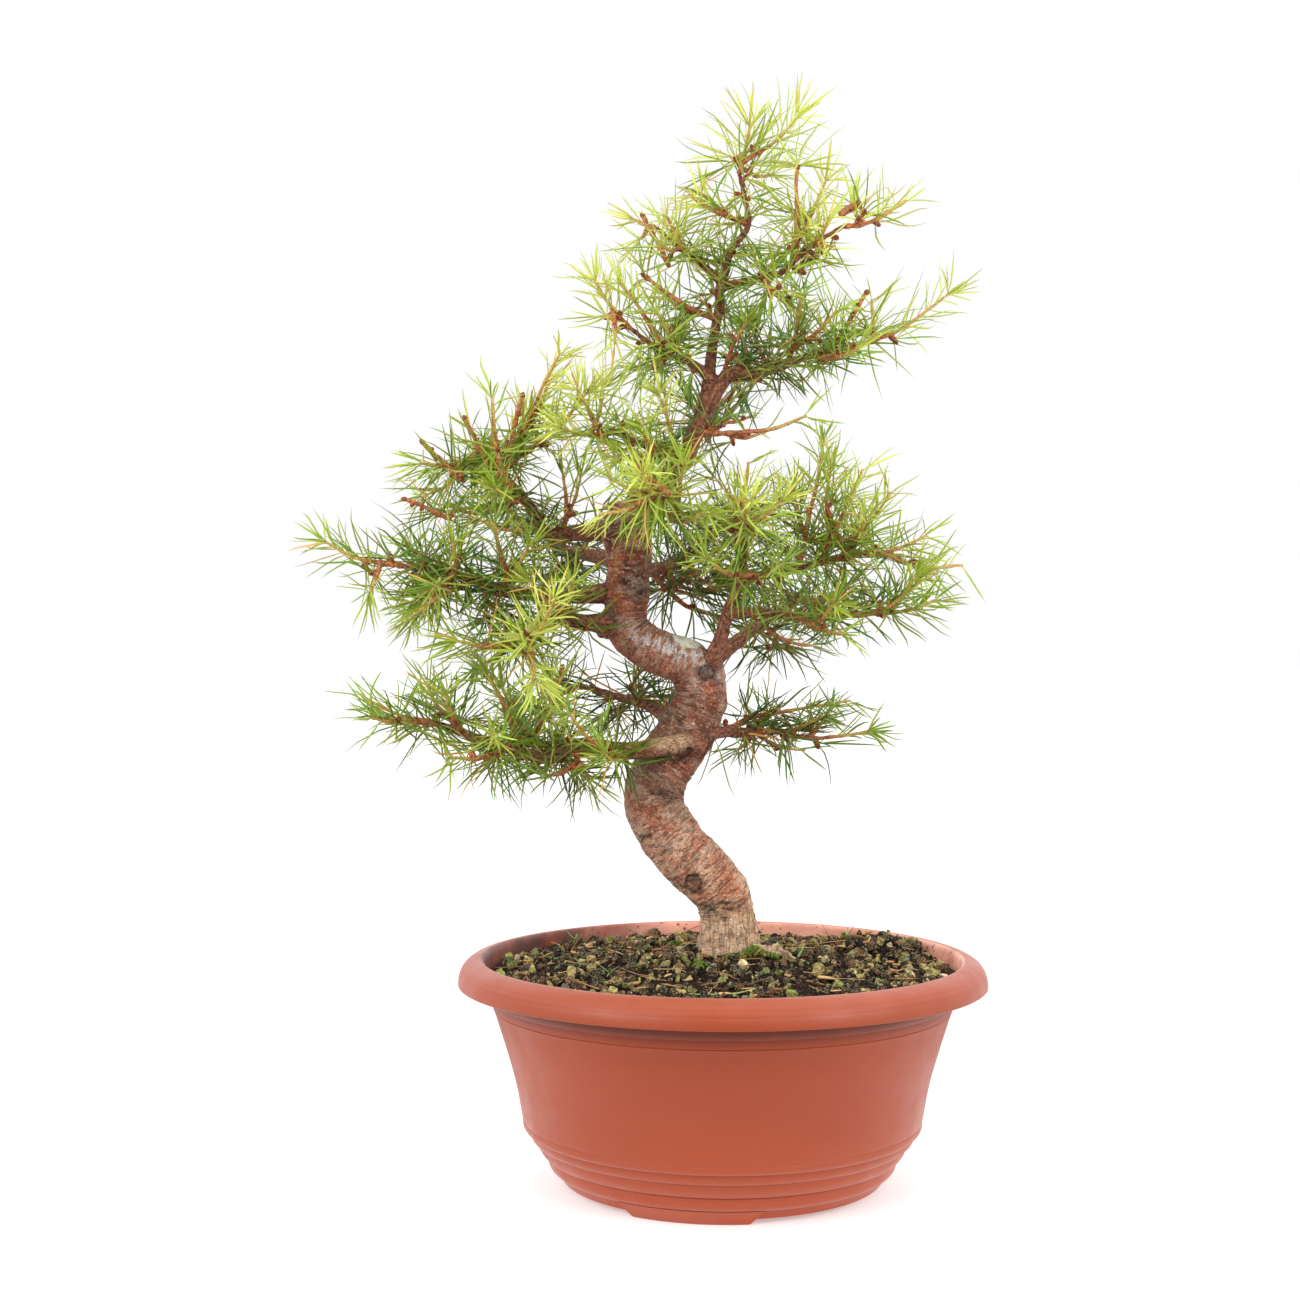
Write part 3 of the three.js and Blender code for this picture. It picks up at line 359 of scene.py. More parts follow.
# Cushions of moss: place, reach, height and number of leaves.
MOSS = [
    (18, -22, 5.5, 5.5, 260), (28, -21, 3, 2, 50), (8, -28, 4, 1.6, 60), (-14, -44, 4, 2, 50),
    (-26, 24, 5, 2, 60),
]
# Seedlings: place, height and number of leaves. Blades of grass: centre lines and radii.
SEEDLINGS = [(-99, 4, 4, 6), (-89, 84, 4, 5), (-65, -48, 3, 3), (76, 82, 5, 3), (-82, -14, 2, 4)]
BLADES = [
    [(-22, -94, 121.5, 0.25), (-10, -99, 122, 0.42), (4, -98, 122.5, 0.42), (18, -90, 124.5, 0.25)],
    [(42, -8, 123, 0.5), (43, -8, 127, 0.8), (46, -9, 133, 0.3)],
]

BOWL_SIDES = 144
# The steps low on the bowl, the wall above them, and the section of a foot: radius and height.
NOTCHES = [(95.5, 8), (99, 15.5), (105, 24), (109.5, 30.5), (113.3, 35.5)]
WALL = [(113.4, 36.6), (114.7, 43.5), (116, 51), (118.2, 61), (121, 71), (124.1, 81.2), (127.2, 91)]
FOOT_SECTION = [(84, 0.4), (84.4, 0), (91.4, 0), (92.1, 0.5), (95.2, 7.6), (84, 7.6)]
WALL_THICKNESS = 3
RIM_LINES, RIM_LINE_DEPTH = (7, 12), 0.22  # the points of the rim's curve that are fine grooves
FOOT_TURNS = (-13, 107, 227)
# Half a foot's angle at the floor, what each mm of height adds to it, and the sections along the foot.
FOOT_SPAN, FOOT_SPREAD, FOOT_STATIONS = 20, 5 / 7.9, 17
DRAINS = [(55, 0), (0, 55), (-55, 0), (0, -55), (0, 0)]
DRAIN_RADIUS, DRAIN_CUT = 0.005, 0.02  # in metres
SMEAR_AND_SHADE_SIDE = np.array([-0.94, 0.34, 0])  # towards the side of the inner wall that is darker, partly soil and partly painted shade

LENS, SENSOR = 53.36, 36
# The room's light from the front and from the other sides, and what is added from above.
ROOM_FRONT, ROOM_SIDES, ROOM_TOP = 0.1, 1.2, 0.9
FLOOR_SIZE, FLOOR_DROP = 60, 0.0003  # in metres
# The floor's grey far from the bowl and near it, and between which distances in metres it changes.
FLOOR_DULL, FLOOR_PALE, FLOOR_REACH = 0.1, 0.7, (0.15, 0.35)
# How much the floor glows: as seen far away and near, and as it lights the bowl from near and from aside.
SEEN_FAR, SEEN_NEAR, GIVEN_NEAR, GIVEN_ASIDE = 0.95, 0.36, 0.74, 1.2
# The two lamps in front: place and size in metres, and power. They aim at a place over the axis.
LAMPS = [((-1.1, -1.05, 0.8), 1.0, 15.5), ((1.1, -1.05, 0.8), 1.0, 14.7)]
LAMPS_AIM = (0, 0, 0.25)

GOLDEN_TURN = 2.39996  # from needle to needle and from spur to spur round a twig

# ------------------------------------------------------------------------------ small tools


def place(points):
    """Points of the tables in the frame's metres."""
    return np.asarray(points, float) * MM + AXIS


def unit(vectors):
    return vectors / np.maximum(np.linalg.norm(vectors, axis=-1, keepdims=True), 1e-12)


def spline(points, shares):
    """Points of a smooth line through the rows, at the given shares of its way."""
    rows = np.array(points, float)
    rows = np.vstack([2 * rows[0] - rows[1], rows, 2 * rows[-1] - rows[-2]])
    spans = len(points) - 1
    at = np.clip(np.atleast_1d(shares), 0, 1) * spans
    i = np.minimum(at.astype(int), spans - 1)
    t = (at - i)[:, None]
    a, b, c, d = rows[i], rows[i + 1], rows[i + 2], rows[i + 3]
    return 0.5 * (2 * b + (c - a) * t + (2 * a - 5 * b + 4 * c - d) * t**2 + (3 * b - a - 3 * c + d) * t**3)


def length_of(line):
    return float(np.linalg.norm(np.diff(line[:, :3], axis=0), axis=1).sum())


def ramp_up(values, low, high):
    return np.clip((values - low) / (high - low), 0, 1)


def points_of(mesh):
    """A mesh's points in mm, and its normals."""
    points = np.empty(len(mesh.vertices) * 3)
    normals = np.empty(len(mesh.vertices) * 3)
    mesh.vertices.foreach_get("co", points)
    mesh.vertices.foreach_get("normal", normals)
    return (points.reshape(-1, 3) - AXIS) / MM, normals.reshape(-1, 3)


def store(mesh, values):
    """Keeps values on a mesh's points, where its materials read them."""
    for name, value in values.items():
        mesh.attributes.new(name, "FLOAT", "POINT").data.foreach_set("value", value)


def noise_at(points, size):
    """Smooth noise from -1 to 1 at each point, in lumps of about the given size."""
    return np.array([noise.noise(Vector(point) / size) for point in points])


def away_from(points, centre, size):
    """How far each point is from the centre, as a share of the size."""
    return np.linalg.norm((points - np.array(centre)) / np.array(size), axis=1)


def frames_along(line):
    """At each point of a line, its direction and two directions across it that don't twist."""
    along = unit(np.gradient(line[:, :3], axis=0))
    across = np.empty_like(along)
    side = np.array([1, 0.2, 0.1])
    for i, direction in enumerate(along):
        side = side - direction * side.dot(direction)
        side = side / np.linalg.norm(side)
        across[i] = side
    return along, across, np.cross(along, across)


def tube(line, sides, relief=None):
    """Points and triangles of a closed tube round a line of (x, y, z, radius) rows."""
    along, across, third = frames_along(line)
    angles = np.arange(sides) * 2 * math.pi / sides
    reach = np.repeat(line[:, 3:4], sides, axis=1)
    if relief is not None:
        reach = reach * relief(line, angles)
    rings = line[:, None, :3] + reach[..., None] * (
        across[:, None] * np.cos(angles)[None, :, None] + third[:, None] * np.sin(angles)[None, :, None]
    )
    start = line[0, :3] - along[0] * line[0, 3] * 0.4
    end = line[-1, :3] + along[-1] * line[-1, 3] * 0.7
    points = np.vstack([rings.reshape(-1, 3), start, end])
    k = np.arange(sides)
    n = (k + 1) % sides
    faces = []
    for band in range(len(line) - 1):
        low, high = band * sides, (band + 1) * sides
        faces.append(np.stack([low + k, low + n, high + n], 1))
        faces.append(np.stack([low + k, high + n, high + k], 1))
    top = (len(line) - 1) * sides
    faces.append(np.stack([n, k, np.full(sides, len(points) - 2)], 1))
    faces.append(np.stack([top + k, top + n, np.full(sides, len(points) - 1)], 1))
    return points, np.vstack(faces)


class Mass:
    """Triangles gathered for one piece, with the values that its materials read at each point."""

    def __init__(self):
        self.points, self.faces, self.slots = [], [], []
        self.values = {}
        self.count = 0

    def add(self, points, faces, slot=0, **values):
        self.points.append(points)
        self.faces.append(faces + self.count)
        self.slots.append(np.full(len(faces), slot))
        for name, value in values.items():
            value = np.asarray(value, float)
            shape = (len(points), *value.shape[1:])
            self.values.setdefault(name, []).append(np.broadcast_to(value, shape))
        self.count += len(points)

    def piece(self, name, materials, smooth=(True,)):
        """The mesh object of what was gathered, in metres and in the frame. Each slot is smooth or not."""
        points = place(np.vstack(self.points))
        faces = np.vstack(self.faces)
        mesh = bpy.data.meshes.new(name)
        mesh.vertices.add(len(points))
        mesh.vertices.foreach_set("co", points.ravel())
        mesh.loops.add(faces.size)
        mesh.loops.foreach_set("vertex_index", faces.ravel())
        mesh.polygons.add(len(faces))
        mesh.polygons.foreach_set("loop_start", np.arange(len(faces)) * 3)
        slots = np.concatenate(self.slots)
        mesh.polygons.foreach_set("use_smooth", np.array(smooth)[slots])
        mesh.update(calc_edges=True)
        for material in materials:
            mesh.materials.append(material)
        mesh.polygons.foreach_set("material_index", slots)
        for key, rows in self.values.items():
            values = np.concatenate(rows)
            if values.ndim > 1:
                values = np.column_stack([values, np.ones(len(values))])
                mesh.attributes.new(key, "FLOAT_COLOR", "POINT").data.foreach_set("color", values.ravel())
            else:
                mesh.attributes.new(key, "FLOAT", "POINT").data.foreach_set("value", values)
        mesh.validate()
        obj = bpy.data.objects.new(name, mesh)
        bpy.context.scene.collection.objects.link(obj)
        return obj


def pick(piece):
    """Selects one piece alone and makes it the active one."""
    bpy.ops.object.select_all(action="DESELECT")
    piece.select_set(True)
    bpy.context.view_layer.objects.active = piece


def apply(piece, kind, **settings):
    """A modifier, set and applied."""
    pick(piece)
    modifier = piece.modifiers.new("shape", kind)
    for name, value in settings.items():
        setattr(modifier, name, value)
    bpy.ops.object.modifier_apply(modifier=modifier.name)


def shade(piece, angle):
    """Faces turned outwards and shaded smooth, but for edges sharper than the angle."""
    pick(piece)
    bpy.ops.object.mode_set(mode="EDIT")
    bpy.ops.mesh.select_all(action="SELECT")
    bpy.ops.mesh.normals_make_consistent(inside=False)
    bpy.ops.object.mode_set(mode="OBJECT")
    bpy.ops.object.shade_smooth_by_angle(angle=math.radians(angle))


def turned(name, profile, sides):
    """A shape turned round the Z axis: a circle drawn out and scaled from ring to ring up a profile of
    (radius, height) points. A point of no radius closes an end."""
    bpy.ops.object.select_all(action="DESELECT")
    rings = [point for point in profile if point[0] > 0]
    radius, height = rings[0]
    fill = "TRIFAN" if profile[0][0] == 0 else "NOTHING"
    bpy.ops.mesh.primitive_circle_add(
        vertices=sides, radius=radius, location=(0, 0, height), fill_type=fill
    )
    piece = bpy.context.object
    piece.name = name
    bpy.ops.object.mode_set(mode="EDIT")
    bpy.ops.mesh.select_mode(type="EDGE")
    bpy.ops.mesh.select_all(action="SELECT")
    if fill == "TRIFAN":
        bpy.ops.mesh.region_to_loop()
    for new_radius, new_height in rings[1:]:
        bpy.ops.mesh.extrude_region_move(TRANSFORM_OT_translate={"value": (0, 0, new_height - height)})
        factor = new_radius / radius
        bpy.ops.transform.resize(value=(factor, factor, 1), center_override=(0, 0, new_height))
        radius, height = new_radius, new_height
    if profile[-1][0] == 0:
        rise = profile[-1][1] - height
        bpy.ops.mesh.extrude_region_move(TRANSFORM_OT_translate={"value": (0, 0, rise)})
        bpy.ops.mesh.merge(type="CENTER")
    bpy.ops.mesh.select_all(action="SELECT")
    bpy.ops.mesh.normals_make_consistent(inside=False)
    bpy.ops.object.mode_set(mode="OBJECT")
    bpy.ops.object.transform_apply(location=True, rotation=True, scale=True)
    return piece


def shape_of(piece):
    """The points and triangles of a piece that was modelled once, to be set out many times. It goes."""
    mesh = piece.data
    mesh.calc_loop_triangles()
    points = np.empty(len(mesh.vertices) * 3)
    mesh.vertices.foreach_get("co", points)
    faces = np.empty(len(mesh.loop_triangles) * 3, int)
    mesh.loop_triangles.foreach_get("vertices", faces)
    bpy.data.objects.remove(piece)
    return points.reshape(-1, 3), faces.reshape(-1, 3)


def set_out(mass, shape, roots, axes, slot=0, bend=None, wave=None, **values):
    """Copies of a shape, one at each root, its x, y and z along the three axes, bent and waved as its z
    grows. Each value is a row for each copy."""
    points, faces = shape
    spots = roots[:, None] + np.einsum("kj,njc->nkc", points, axes)
    if bend is not None:
        spots = spots + bend[:, None] * (points[:, 2] ** 2)[None, :, None]
    if wave is not None:
        spots = spots + wave[:, None] * np.sin(points[:, 2] * 2 * math.pi)[None, :, None]
    copies = faces[None] + (np.arange(len(roots)) * len(points))[:, None, None]
    spread = {}
    for name, value in values.items():
        spread[name] = np.repeat(np.asarray(value), len(points), axis=0)
    if "tone" in spread:
        spread["share"] = np.tile(points[:, 2], len(roots))
        spread.setdefault("dry", np.zeros(len(spots) * len(points)))
    mass.add(spots.reshape(-1, 3), copies.reshape(-1, 3), slot, **spread)


def across_axes(out, spin):
    """Two directions across each row of directions, turned round it by the spin."""
    helper = np.where(np.abs(out[:, 2:]) < 0.9, [[0, 0, 1.0]], [[1.0, 0, 0]])
    side = unit(np.cross(out, helper))
    third = np.cross(out, side)
    cos, sin = np.cos(spin)[:, None], np.sin(spin)[:, None]
    return side * cos + third * sin, third * cos - side * sin


def axes_of(out, spin, wide, flat, tall):
    """The three axes of copies that stand along their directions, for set_out."""
    side, third = across_axes(out, spin)
    return np.stack([side * wide, third * wide * flat, out * tall], axis=1)


# ------------------------------------------------------------------------------ finishes


def paint(red, green, blue):
    """A colour given as on a paint card, 0 to 255, as the shaders take it."""
    shares = (red / 255, green / 255, blue / 255)
    return (*(v / 12.92 if v <= 0.04 else ((v + 0.055) / 1.055) ** 2.4 for v in shares), 1)


def make_mottle():
    """Soft uneven patches: a noise, stretched from Low and High to 0 and 1."""
    group = bpy.data.node_groups.new("mottle", "ShaderNodeTree")
    face = group.interface
    face.new_socket("Vector", in_out="INPUT", socket_type="NodeSocketVector")
    for name, value in (("Scale", 5), ("Detail", 3), ("Low", 0.4), ("High", 0.6)):
        face.new_socket(name, in_out="INPUT", socket_type="NodeSocketFloat").default_value = value
    face.new_socket("Value", in_out="OUTPUT", socket_type="NodeSocketFloat")
    inlet = group.nodes.new("NodeGroupInput")
    outlet = group.nodes.new("NodeGroupOutput")
    field = group.nodes.new("ShaderNodeTexNoise")
    stretch = group.nodes.new("ShaderNodeMapRange")
    for name in ("Vector", "Scale", "Detail"):
        group.links.new(inlet.outputs[name], field.inputs[name])
    group.links.new(field.outputs["Fac"], stretch.inputs["Value"])
    group.links.new(inlet.outputs["Low"], stretch.inputs["From Min"])
    group.links.new(inlet.outputs["High"], stretch.inputs["From Max"])
    group.links.new(stretch.outputs["Result"], outlet.inputs["Value"])
    return group


MOTTLE = make_mottle()


class Finish:
    """A material with one shader, and short ways to add the nodes that feed it."""

    def __init__(self, name, roughness, specular=0.5):
        self.material = bpy.data.materials.new(name)
        self.material.use_nodes = True
        self.tree = self.material.node_tree
        self.shader = self.tree.nodes["Principled BSDF"]
        self.shader.inputs["Roughness"].default_value = roughness
        self.shader.inputs["Specular IOR Level"].default_value = specular

    def feed(self, socket, value):
        if isinstance(value, bpy.types.NodeSocket):
            self.tree.links.new(value, socket)
        else:
            socket.default_value = value

    def add(self, kind, **inputs):
        node = self.tree.nodes.new(kind)
        for name, value in inputs.items():
            self.feed(node.inputs[name], value)
        return node

    def spot(self):
        return self.add("ShaderNodeTexCoord").outputs["Object"]

    def read(self, name, output="Fac"):
        node = self.add("ShaderNodeAttribute")
        node.attribute_name = name
        return node.outputs[output]

    def height(self):
        return self.add("ShaderNodeSeparateXYZ", Vector=self.spot()).outputs["Z"]

    def stretched(self, vector, scale):
        return self.add("ShaderNodeMapping", Vector=vector, Scale=scale).outputs["Vector"]

    def mottle(self, vector, scale, low=0.4, high=0.6, detail=3):
        node = self.tree.nodes.new("ShaderNodeGroup")
        node.node_tree = MOTTLE
        values = {"Vector": vector, "Scale": scale, "Detail": detail, "Low": low, "High": high}
        for name, value in values.items():
            self.feed(node.inputs[name], value)
        return node.outputs["Value"]

    def math(self, operation, a, b):
        node = self.tree.nodes.new("ShaderNodeMath")
        node.operation = operation
        self.feed(node.inputs[0], a)
        self.feed(node.inputs[1], b)
        return node.outputs[0]

    def mix(self, share, a, b):
        node = self.tree.nodes.new("ShaderNodeMix")
        node.data_type = "RGBA"
        self.feed(node.inputs[0], share)
        self.feed(node.inputs[6], a)
        self.feed(node.inputs[7], b)
        return node.outputs[2]

    def ramp(self, value, stops):
        """Colours at places from 0 to 1."""
        node = self.add("ShaderNodeValToRGB", Fac=value)
        colours = node.color_ramp.elements
        while len(colours) < len(stops):
            colours.new(1)
        for element, (position, colour) in zip(colours, stops):
            element.position = position
            element.color = colour
        return node.outputs["Color"]

    def scaled(self, value, low, high):
        node = self.tree.nodes.new("ShaderNodeMapRange")
        for name, number in (("Value", value), ("From Min", low), ("From Max", high)):
            self.feed(node.inputs[name], number)
        return node.outputs["Result"]

    def colour(self, socket):
        self.feed(self.shader.inputs["Base Color"], socket)

    def rough(self, value, low, high):
        node = self.add("ShaderNodeMapRange", Value=value)
        node.inputs["To Min"].default_value = low
        node.inputs["To Max"].default_value = high
        self.feed(self.shader.inputs["Roughness"], node.outputs["Result"])

    def bump(self, value, depth, strength=1):
        node = self.add("ShaderNodeBump", Height=value, Distance=depth, Strength=strength)
        self.feed(self.shader.inputs["Normal"], node.outputs["Normal"])


def bowl_plastic():
    """Terracotta-coloured polypropylene: satin, with faint flow marks and specks. A pale powdery film and
    painted sheen lie a little on what faces up and more on its inner wall, whose left is darker, partly soil
    and partly painted shade; soil is splashed round the inner wall, and painted shade darkens the wall under
    its rim."""
    f = Finish("bowl_plastic", 0.4, 0.3)
    f.shader.inputs["Sheen Weight"].default_value = 0.07
    spot = f.spot()
    flow = f.mottle(f.stretched(spot, (1, 1, 3)), 9, 0.3, 0.7, 4)
    base = f.mix(flow, paint(144, 58, 27), paint(149, 61, 29))
    speck = f.mottle(spot, 420, 0.75, 0.79, 1)
    marked = f.mix(f.math("MULTIPLY", speck, 0.6), base, paint(128, 52, 36))
    # A pale powdery film and painted sheen: the inner wall and what faces up are mixed towards a pale pink.
    dust_and_sheen_mask = f.math("MULTIPLY", f.mottle(spot, 40, 0.1, 0.9, 6), f.read("dust_and_sheen"))
    dust_and_sheen = f.mix(dust_and_sheen_mask, marked, paint(250, 182, 158))
    # The left of the inner wall is darker: partly soil, partly painted shade.
    smear_and_shade_mask = f.math("MULTIPLY", f.mottle(spot, 60, 0.3, 0.6, 6), f.read("smear_and_shade"))
    smear_and_shade = f.mix(smear_and_shade_mask, dust_and_sheen, paint(80, 34, 25))
    splash = f.math("MULTIPLY", f.mottle(spot, 330, 0.63, 0.66, 3), f.read("splashed"))
    splashed = f.mix(splash, smear_and_shade, paint(62, 40, 30))
    # Painted shade under the rim: the wall just below the lip is darkened towards a deep red brown.
    painted_shade_under_rim = f.math("MULTIPLY", f.mottle(spot, 30, 0, 0.5, 3), f.read("painted_shade_under_rim"))
    f.colour(f.mix(painted_shade_under_rim, splashed, paint(78, 26, 14)))
    f.rough(f.mottle(spot, 70, 0.35, 0.65, 4), 0.4, 0.5)
    f.bump(f.mottle(spot, 900, 0.3, 0.7, 2), 0.00004, 0.5)
    return f.material


def soil_mix():
    f = Finish("soil_mix", 0.95, 0.1)
    spot = f.spot()
    crumbs = f.mottle(spot, 320, 0.35, 0.65, 4)
    f.colour(f.mix(crumbs, paint(26, 18, 14), paint(62, 44, 34)))
    f.bump(crumbs, 0.0012)
    return f.material


def granule_stone():
    """The grains of the mix: each has its own colour, blotched with crumbs of the dark soil."""
    f = Finish("granule_stone", 0.85, 0.25)
    spot = f.spot()
    crumbs = f.mottle(spot, 420, 0.42, 0.6, 5)
    stained = f.mix(f.math("MULTIPLY", crumbs, 0.75), f.read("tint", "Color"), paint(46, 31, 22))
    pale = f.math("MULTIPLY", f.mottle(spot, 1300, 0.52, 0.62, 2), f.read("pale"))
    f.colour(f.mix(pale, stained, paint(206, 196, 140)))
    f.bump(f.mottle(spot, 1400, 0.3, 0.7, 3), 0.0003)
    return f.material


def tinted(name, roughness, uneven=0.25):
    """Dry needles, moss and seedlings: the piece's own colour, a little uneven."""
    f = Finish(name, roughness, 0.3)
    dull = f.math("MULTIPLY", f.mottle(f.spot(), 300, 0.35, 0.65), uneven)
    f.colour(f.mix(dull, f.read("tint", "Color"), paint(70, 60, 30)))
    return f.material


def bark():
    """Larch bark. The trunk is fissured and tan at its foot, orange and red brown above, with white bloom
    and grey algae on its upper sides, creases inside the bends and dark flecks. The branches are scaly and
    brown."""
    f = Finish("bark", 0.75, 0.3)
    spot = f.spot()
    grain = f.read("grain", "Vector")

    def over(below, mask, share, colour):
        return f.mix(f.math("MULTIPLY", mask, share), below, paint(*colour))

    def streaked(across, along, scale, low, high, detail):
        """Patches that are drawn out along or across the grain."""
        return f.mottle(f.stretched(grain, (across, across, along)), scale, low, high, detail)

    def where(name, mask):
        """The mask, only where the stored value is."""
        return f.math("MULTIPLY", mask, f.read(name))

    # Colours up the trunk. The dark stop at 0.46, about 244 mm up, is partly dark bark and partly painted
    # shade under the low left branch.
    trunk = f.ramp(f.scaled(f.height(), 0.12, 0.39), [
        (0, paint(250, 210, 168)), (0.12, paint(246, 202, 160)), (0.2, paint(250, 192, 154)),
        (0.27, paint(250, 200, 168)), (0.35, paint(188, 132, 104)), (0.46, paint(92, 54, 40)),
        (0.56, paint(150, 88, 62)), (0.66, paint(202, 134, 108)), (0.8, paint(92, 44, 26)),
        (1, paint(90, 42, 26)),
    ])
    above = f.math("SUBTRACT", 1.0, f.read("foot"))
    ruddy = f.math("MULTIPLY", f.mottle(spot, 50, 0.44, 0.58, 6), above)
    strokes = f.math("MULTIPLY", streaked(0.22, 1, 760, 0.54, 0.6, 5), above)
    creases = where("crease", streaked(0.08, 1, 860, 0.5, 0.58, 4))
    fissures = where("foot", streaked(1, 0.07, 900, 0.5, 0.62, 5))
    for mask, share, colour in (
        (ruddy, 0.75, (206, 108, 68)),
        (streaked(0.7, 1.6, 130, 0.46, 0.62, 7), 0.4, (226, 198, 174)),
        (where("algae", streaked(1, 1.4, 260, 0.36, 0.58, 6)), 0.8, (132, 126, 94)),
        (where("bloom", streaked(0.6, 1.5, 340, 0.42, 0.56, 6)), 1.0, (240, 230, 226)),
        (f.mottle(grain, 520, 0.56, 0.62, 4), 0.45, (240, 214, 186)),
        (streaked(0.6, 1.4, 260, 0.54, 0.62, 7), 0.45, (120, 76, 56)),
        (strokes, 0.5, (96, 56, 40)),
        (creases, 0.8, (78, 46, 34)),
        (streaked(1, 2, 520, 0.66, 0.7, 2), 0.85, (54, 36, 28)),
        (fissures, 0.5, (100, 72, 52)),
    ):
        trunk = over(trunk, mask, share, colour)
    scales = streaked(1, 0.7, 560, 0.4, 0.6, 6)
    branch = f.mix(scales, paint(104, 60, 44), paint(196, 134, 104))
    branch = over(branch, f.mottle(spot, 110, 0.4, 0.6), 0.55, (156, 94, 70))
    branch = over(branch, where("collar", streaked(1, 0.5, 900, 0.36, 0.56, 6)), 0.9, (226, 192, 152))
    both = f.mix(f.read("trunk"), branch, trunk)
    speckled = f.mottle(spot, 1100, 0.44, 0.6, 5)
    both = over(both, speckled, 0.3, (92, 58, 44))
    # Blotches of algae, and a painted shadow under the low left branch.
    both = over(both, where("stain_and_shade", streaked(0.5, 1.6, 480, 0.34, 0.58, 6)), 0.9, (58, 48, 34))
    marked = f.mix(f.read("dark"), both, paint(46, 30, 22))
    sawn = f.mix(f.mottle(spot, 260, 0.4, 0.6, 5), paint(206, 208, 176), paint(234, 234, 214))
    f.colour(f.mix(f.read("pale"), marked, sawn))
    relief = f.math("ADD", f.math("SUBTRACT", speckled, fissures), f.math("SUBTRACT", scales, creases))
    f.bump(f.math("SUBTRACT", relief, strokes), 0.0006)
    return f.material


def young_bark():
    """Bark of twigs and spurs: orange brown and scaly on old wood, yellow on this year's shoots."""
    f = Finish("young_bark", 0.55, 0.35)
    spot = f.spot()
    scales = f.mottle(spot, 700, 0.38, 0.62, 5)
    old = f.mix(scales, paint(124, 62, 30), paint(212, 128, 70))
    old = f.mix(f.math("MULTIPLY", f.mottle(spot, 90, 0.4, 0.6), 0.35), old, paint(168, 120, 90))
    fresh = f.mix(scales, paint(186, 140, 66), paint(204, 176, 92))
    twig = f.mix(f.read("fresh"), old, fresh)
    f.colour(f.mix(f.read("bud"), twig, f.mix(scales, paint(92, 38, 20), paint(158, 78, 40))))
    f.bump(scales, 0.0004)
    return f.material


def needle_green():
    """Soft larch needles, from deep green inside to yellow green outside, paler at the root. Some are a
    little brown, most of all at the tip."""
    f = Finish("needle_green", 0.5, 0.22)
    tone = f.ramp(f.read("tone"), [
        (0, paint(40, 66, 6)), (0.3, paint(96, 132, 26)), (0.55, paint(150, 178, 54)),
        (0.8, paint(192, 208, 88)), (0.96, paint(218, 222, 110)), (1, paint(216, 160, 88)),
    ])
    share, dry = f.read("share"), f.read("dry")
    tone = f.mix(f.math("MULTIPLY", f.read("cool"), 0.6), tone, paint(96, 142, 78))
    tone = f.mix(f.math("MULTIPLY", dry, 0.4), tone, paint(178, 136, 66))
    rooted = f.mix(f.scaled(share, 0.2, 0), tone, paint(186, 190, 104))
    f.colour(f.mix(f.math("MULTIPLY", f.scaled(share, 0.8, 0.95), dry), rooted, paint(158, 112, 58)))
    return f.material


# ------------------------------------------------------------------------------ bowl


def arc(start, bow, end, steps):
    """A curve from start to end, drawn towards bow. The start isn't repeated."""
    shares = np.arange(1, steps + 1) / steps
    start, bow, end = (np.array(point, float) for point in (start, bow, end))
    rows = [(1 - t) ** 2 * start + 2 * t * (1 - t) * bow + t * t * end for t in shares]
    return [tuple(row) for row in rows]


def bowl_profile():
    """From the middle of the underside up the outside, over the rim, and down the inside to its floor."""
    profile = [(0, 4.8), (40, 4.8), (84, 4.8), (86, 4.8), (86.6, 2.9), (87.2, 2.5), (90.7, 2.5), (91.3, 2.9)]
    profile += [(92.6, 6.6), (93.4, 7.4), NOTCHES[0]]
    for (r0, z0), (r1, z1) in zip(NOTCHES, NOTCHES[1:]):
        bulge = ((r0 + r1) / 2 + 2.4, (z0 + z1) / 2 - 2)
        profile += arc((r0, z0), bulge, (r1, z1), 7)
        profile += [(r1 - 0.25, z1 + 0.35)]
    profile += [tuple(row) for row in spline(WALL, np.linspace(0, 1, 22))]
    profile += [(128.2, 94.2), (129.9, 98.9), (129.6, 99.35), (129.65, 99.55), (130.3, 99.9), (131.6, 103.9)]
    profile += [(131.65, 104.35), (131.95, 104.7), (132.8, 107.5), (133.8, 111.5), (134, 112)]
    profile += arc((134, 112), (135, 119.5), (140, 119.3), 6)
    profile += arc((140, 119.3), (146, 119), (147.4, 112.9), 6)
    profile += [(147.8, 112.55), (149.4, 112.5), (149.9, 112.8)]
    rim = arc((149.9, 112.8), (149.8, 124.2), (139.6, 126.8), 26)
    profile += [(r - RIM_LINE_DEPTH, z) if i in RIM_LINES else (r, z) for i, (r, z) in enumerate(rim)]
    profile += arc((139.6, 126.8), (135.4, 128), (134.6, 122.6), 7)
    profile += [(133.3, 116), (131.3, 109), (130.3, 103)]
    inside = [(r - WALL_THICKNESS, z) for r, z in reversed(WALL)]
    profile += [tuple(row) for row in spline(inside, np.linspace(0, 1, 12))]
    profile += [(102, 26), (92, 13), (89.5, 9), (86, 7.8), (40, 7.8), (0, 7.8)]
    return profile


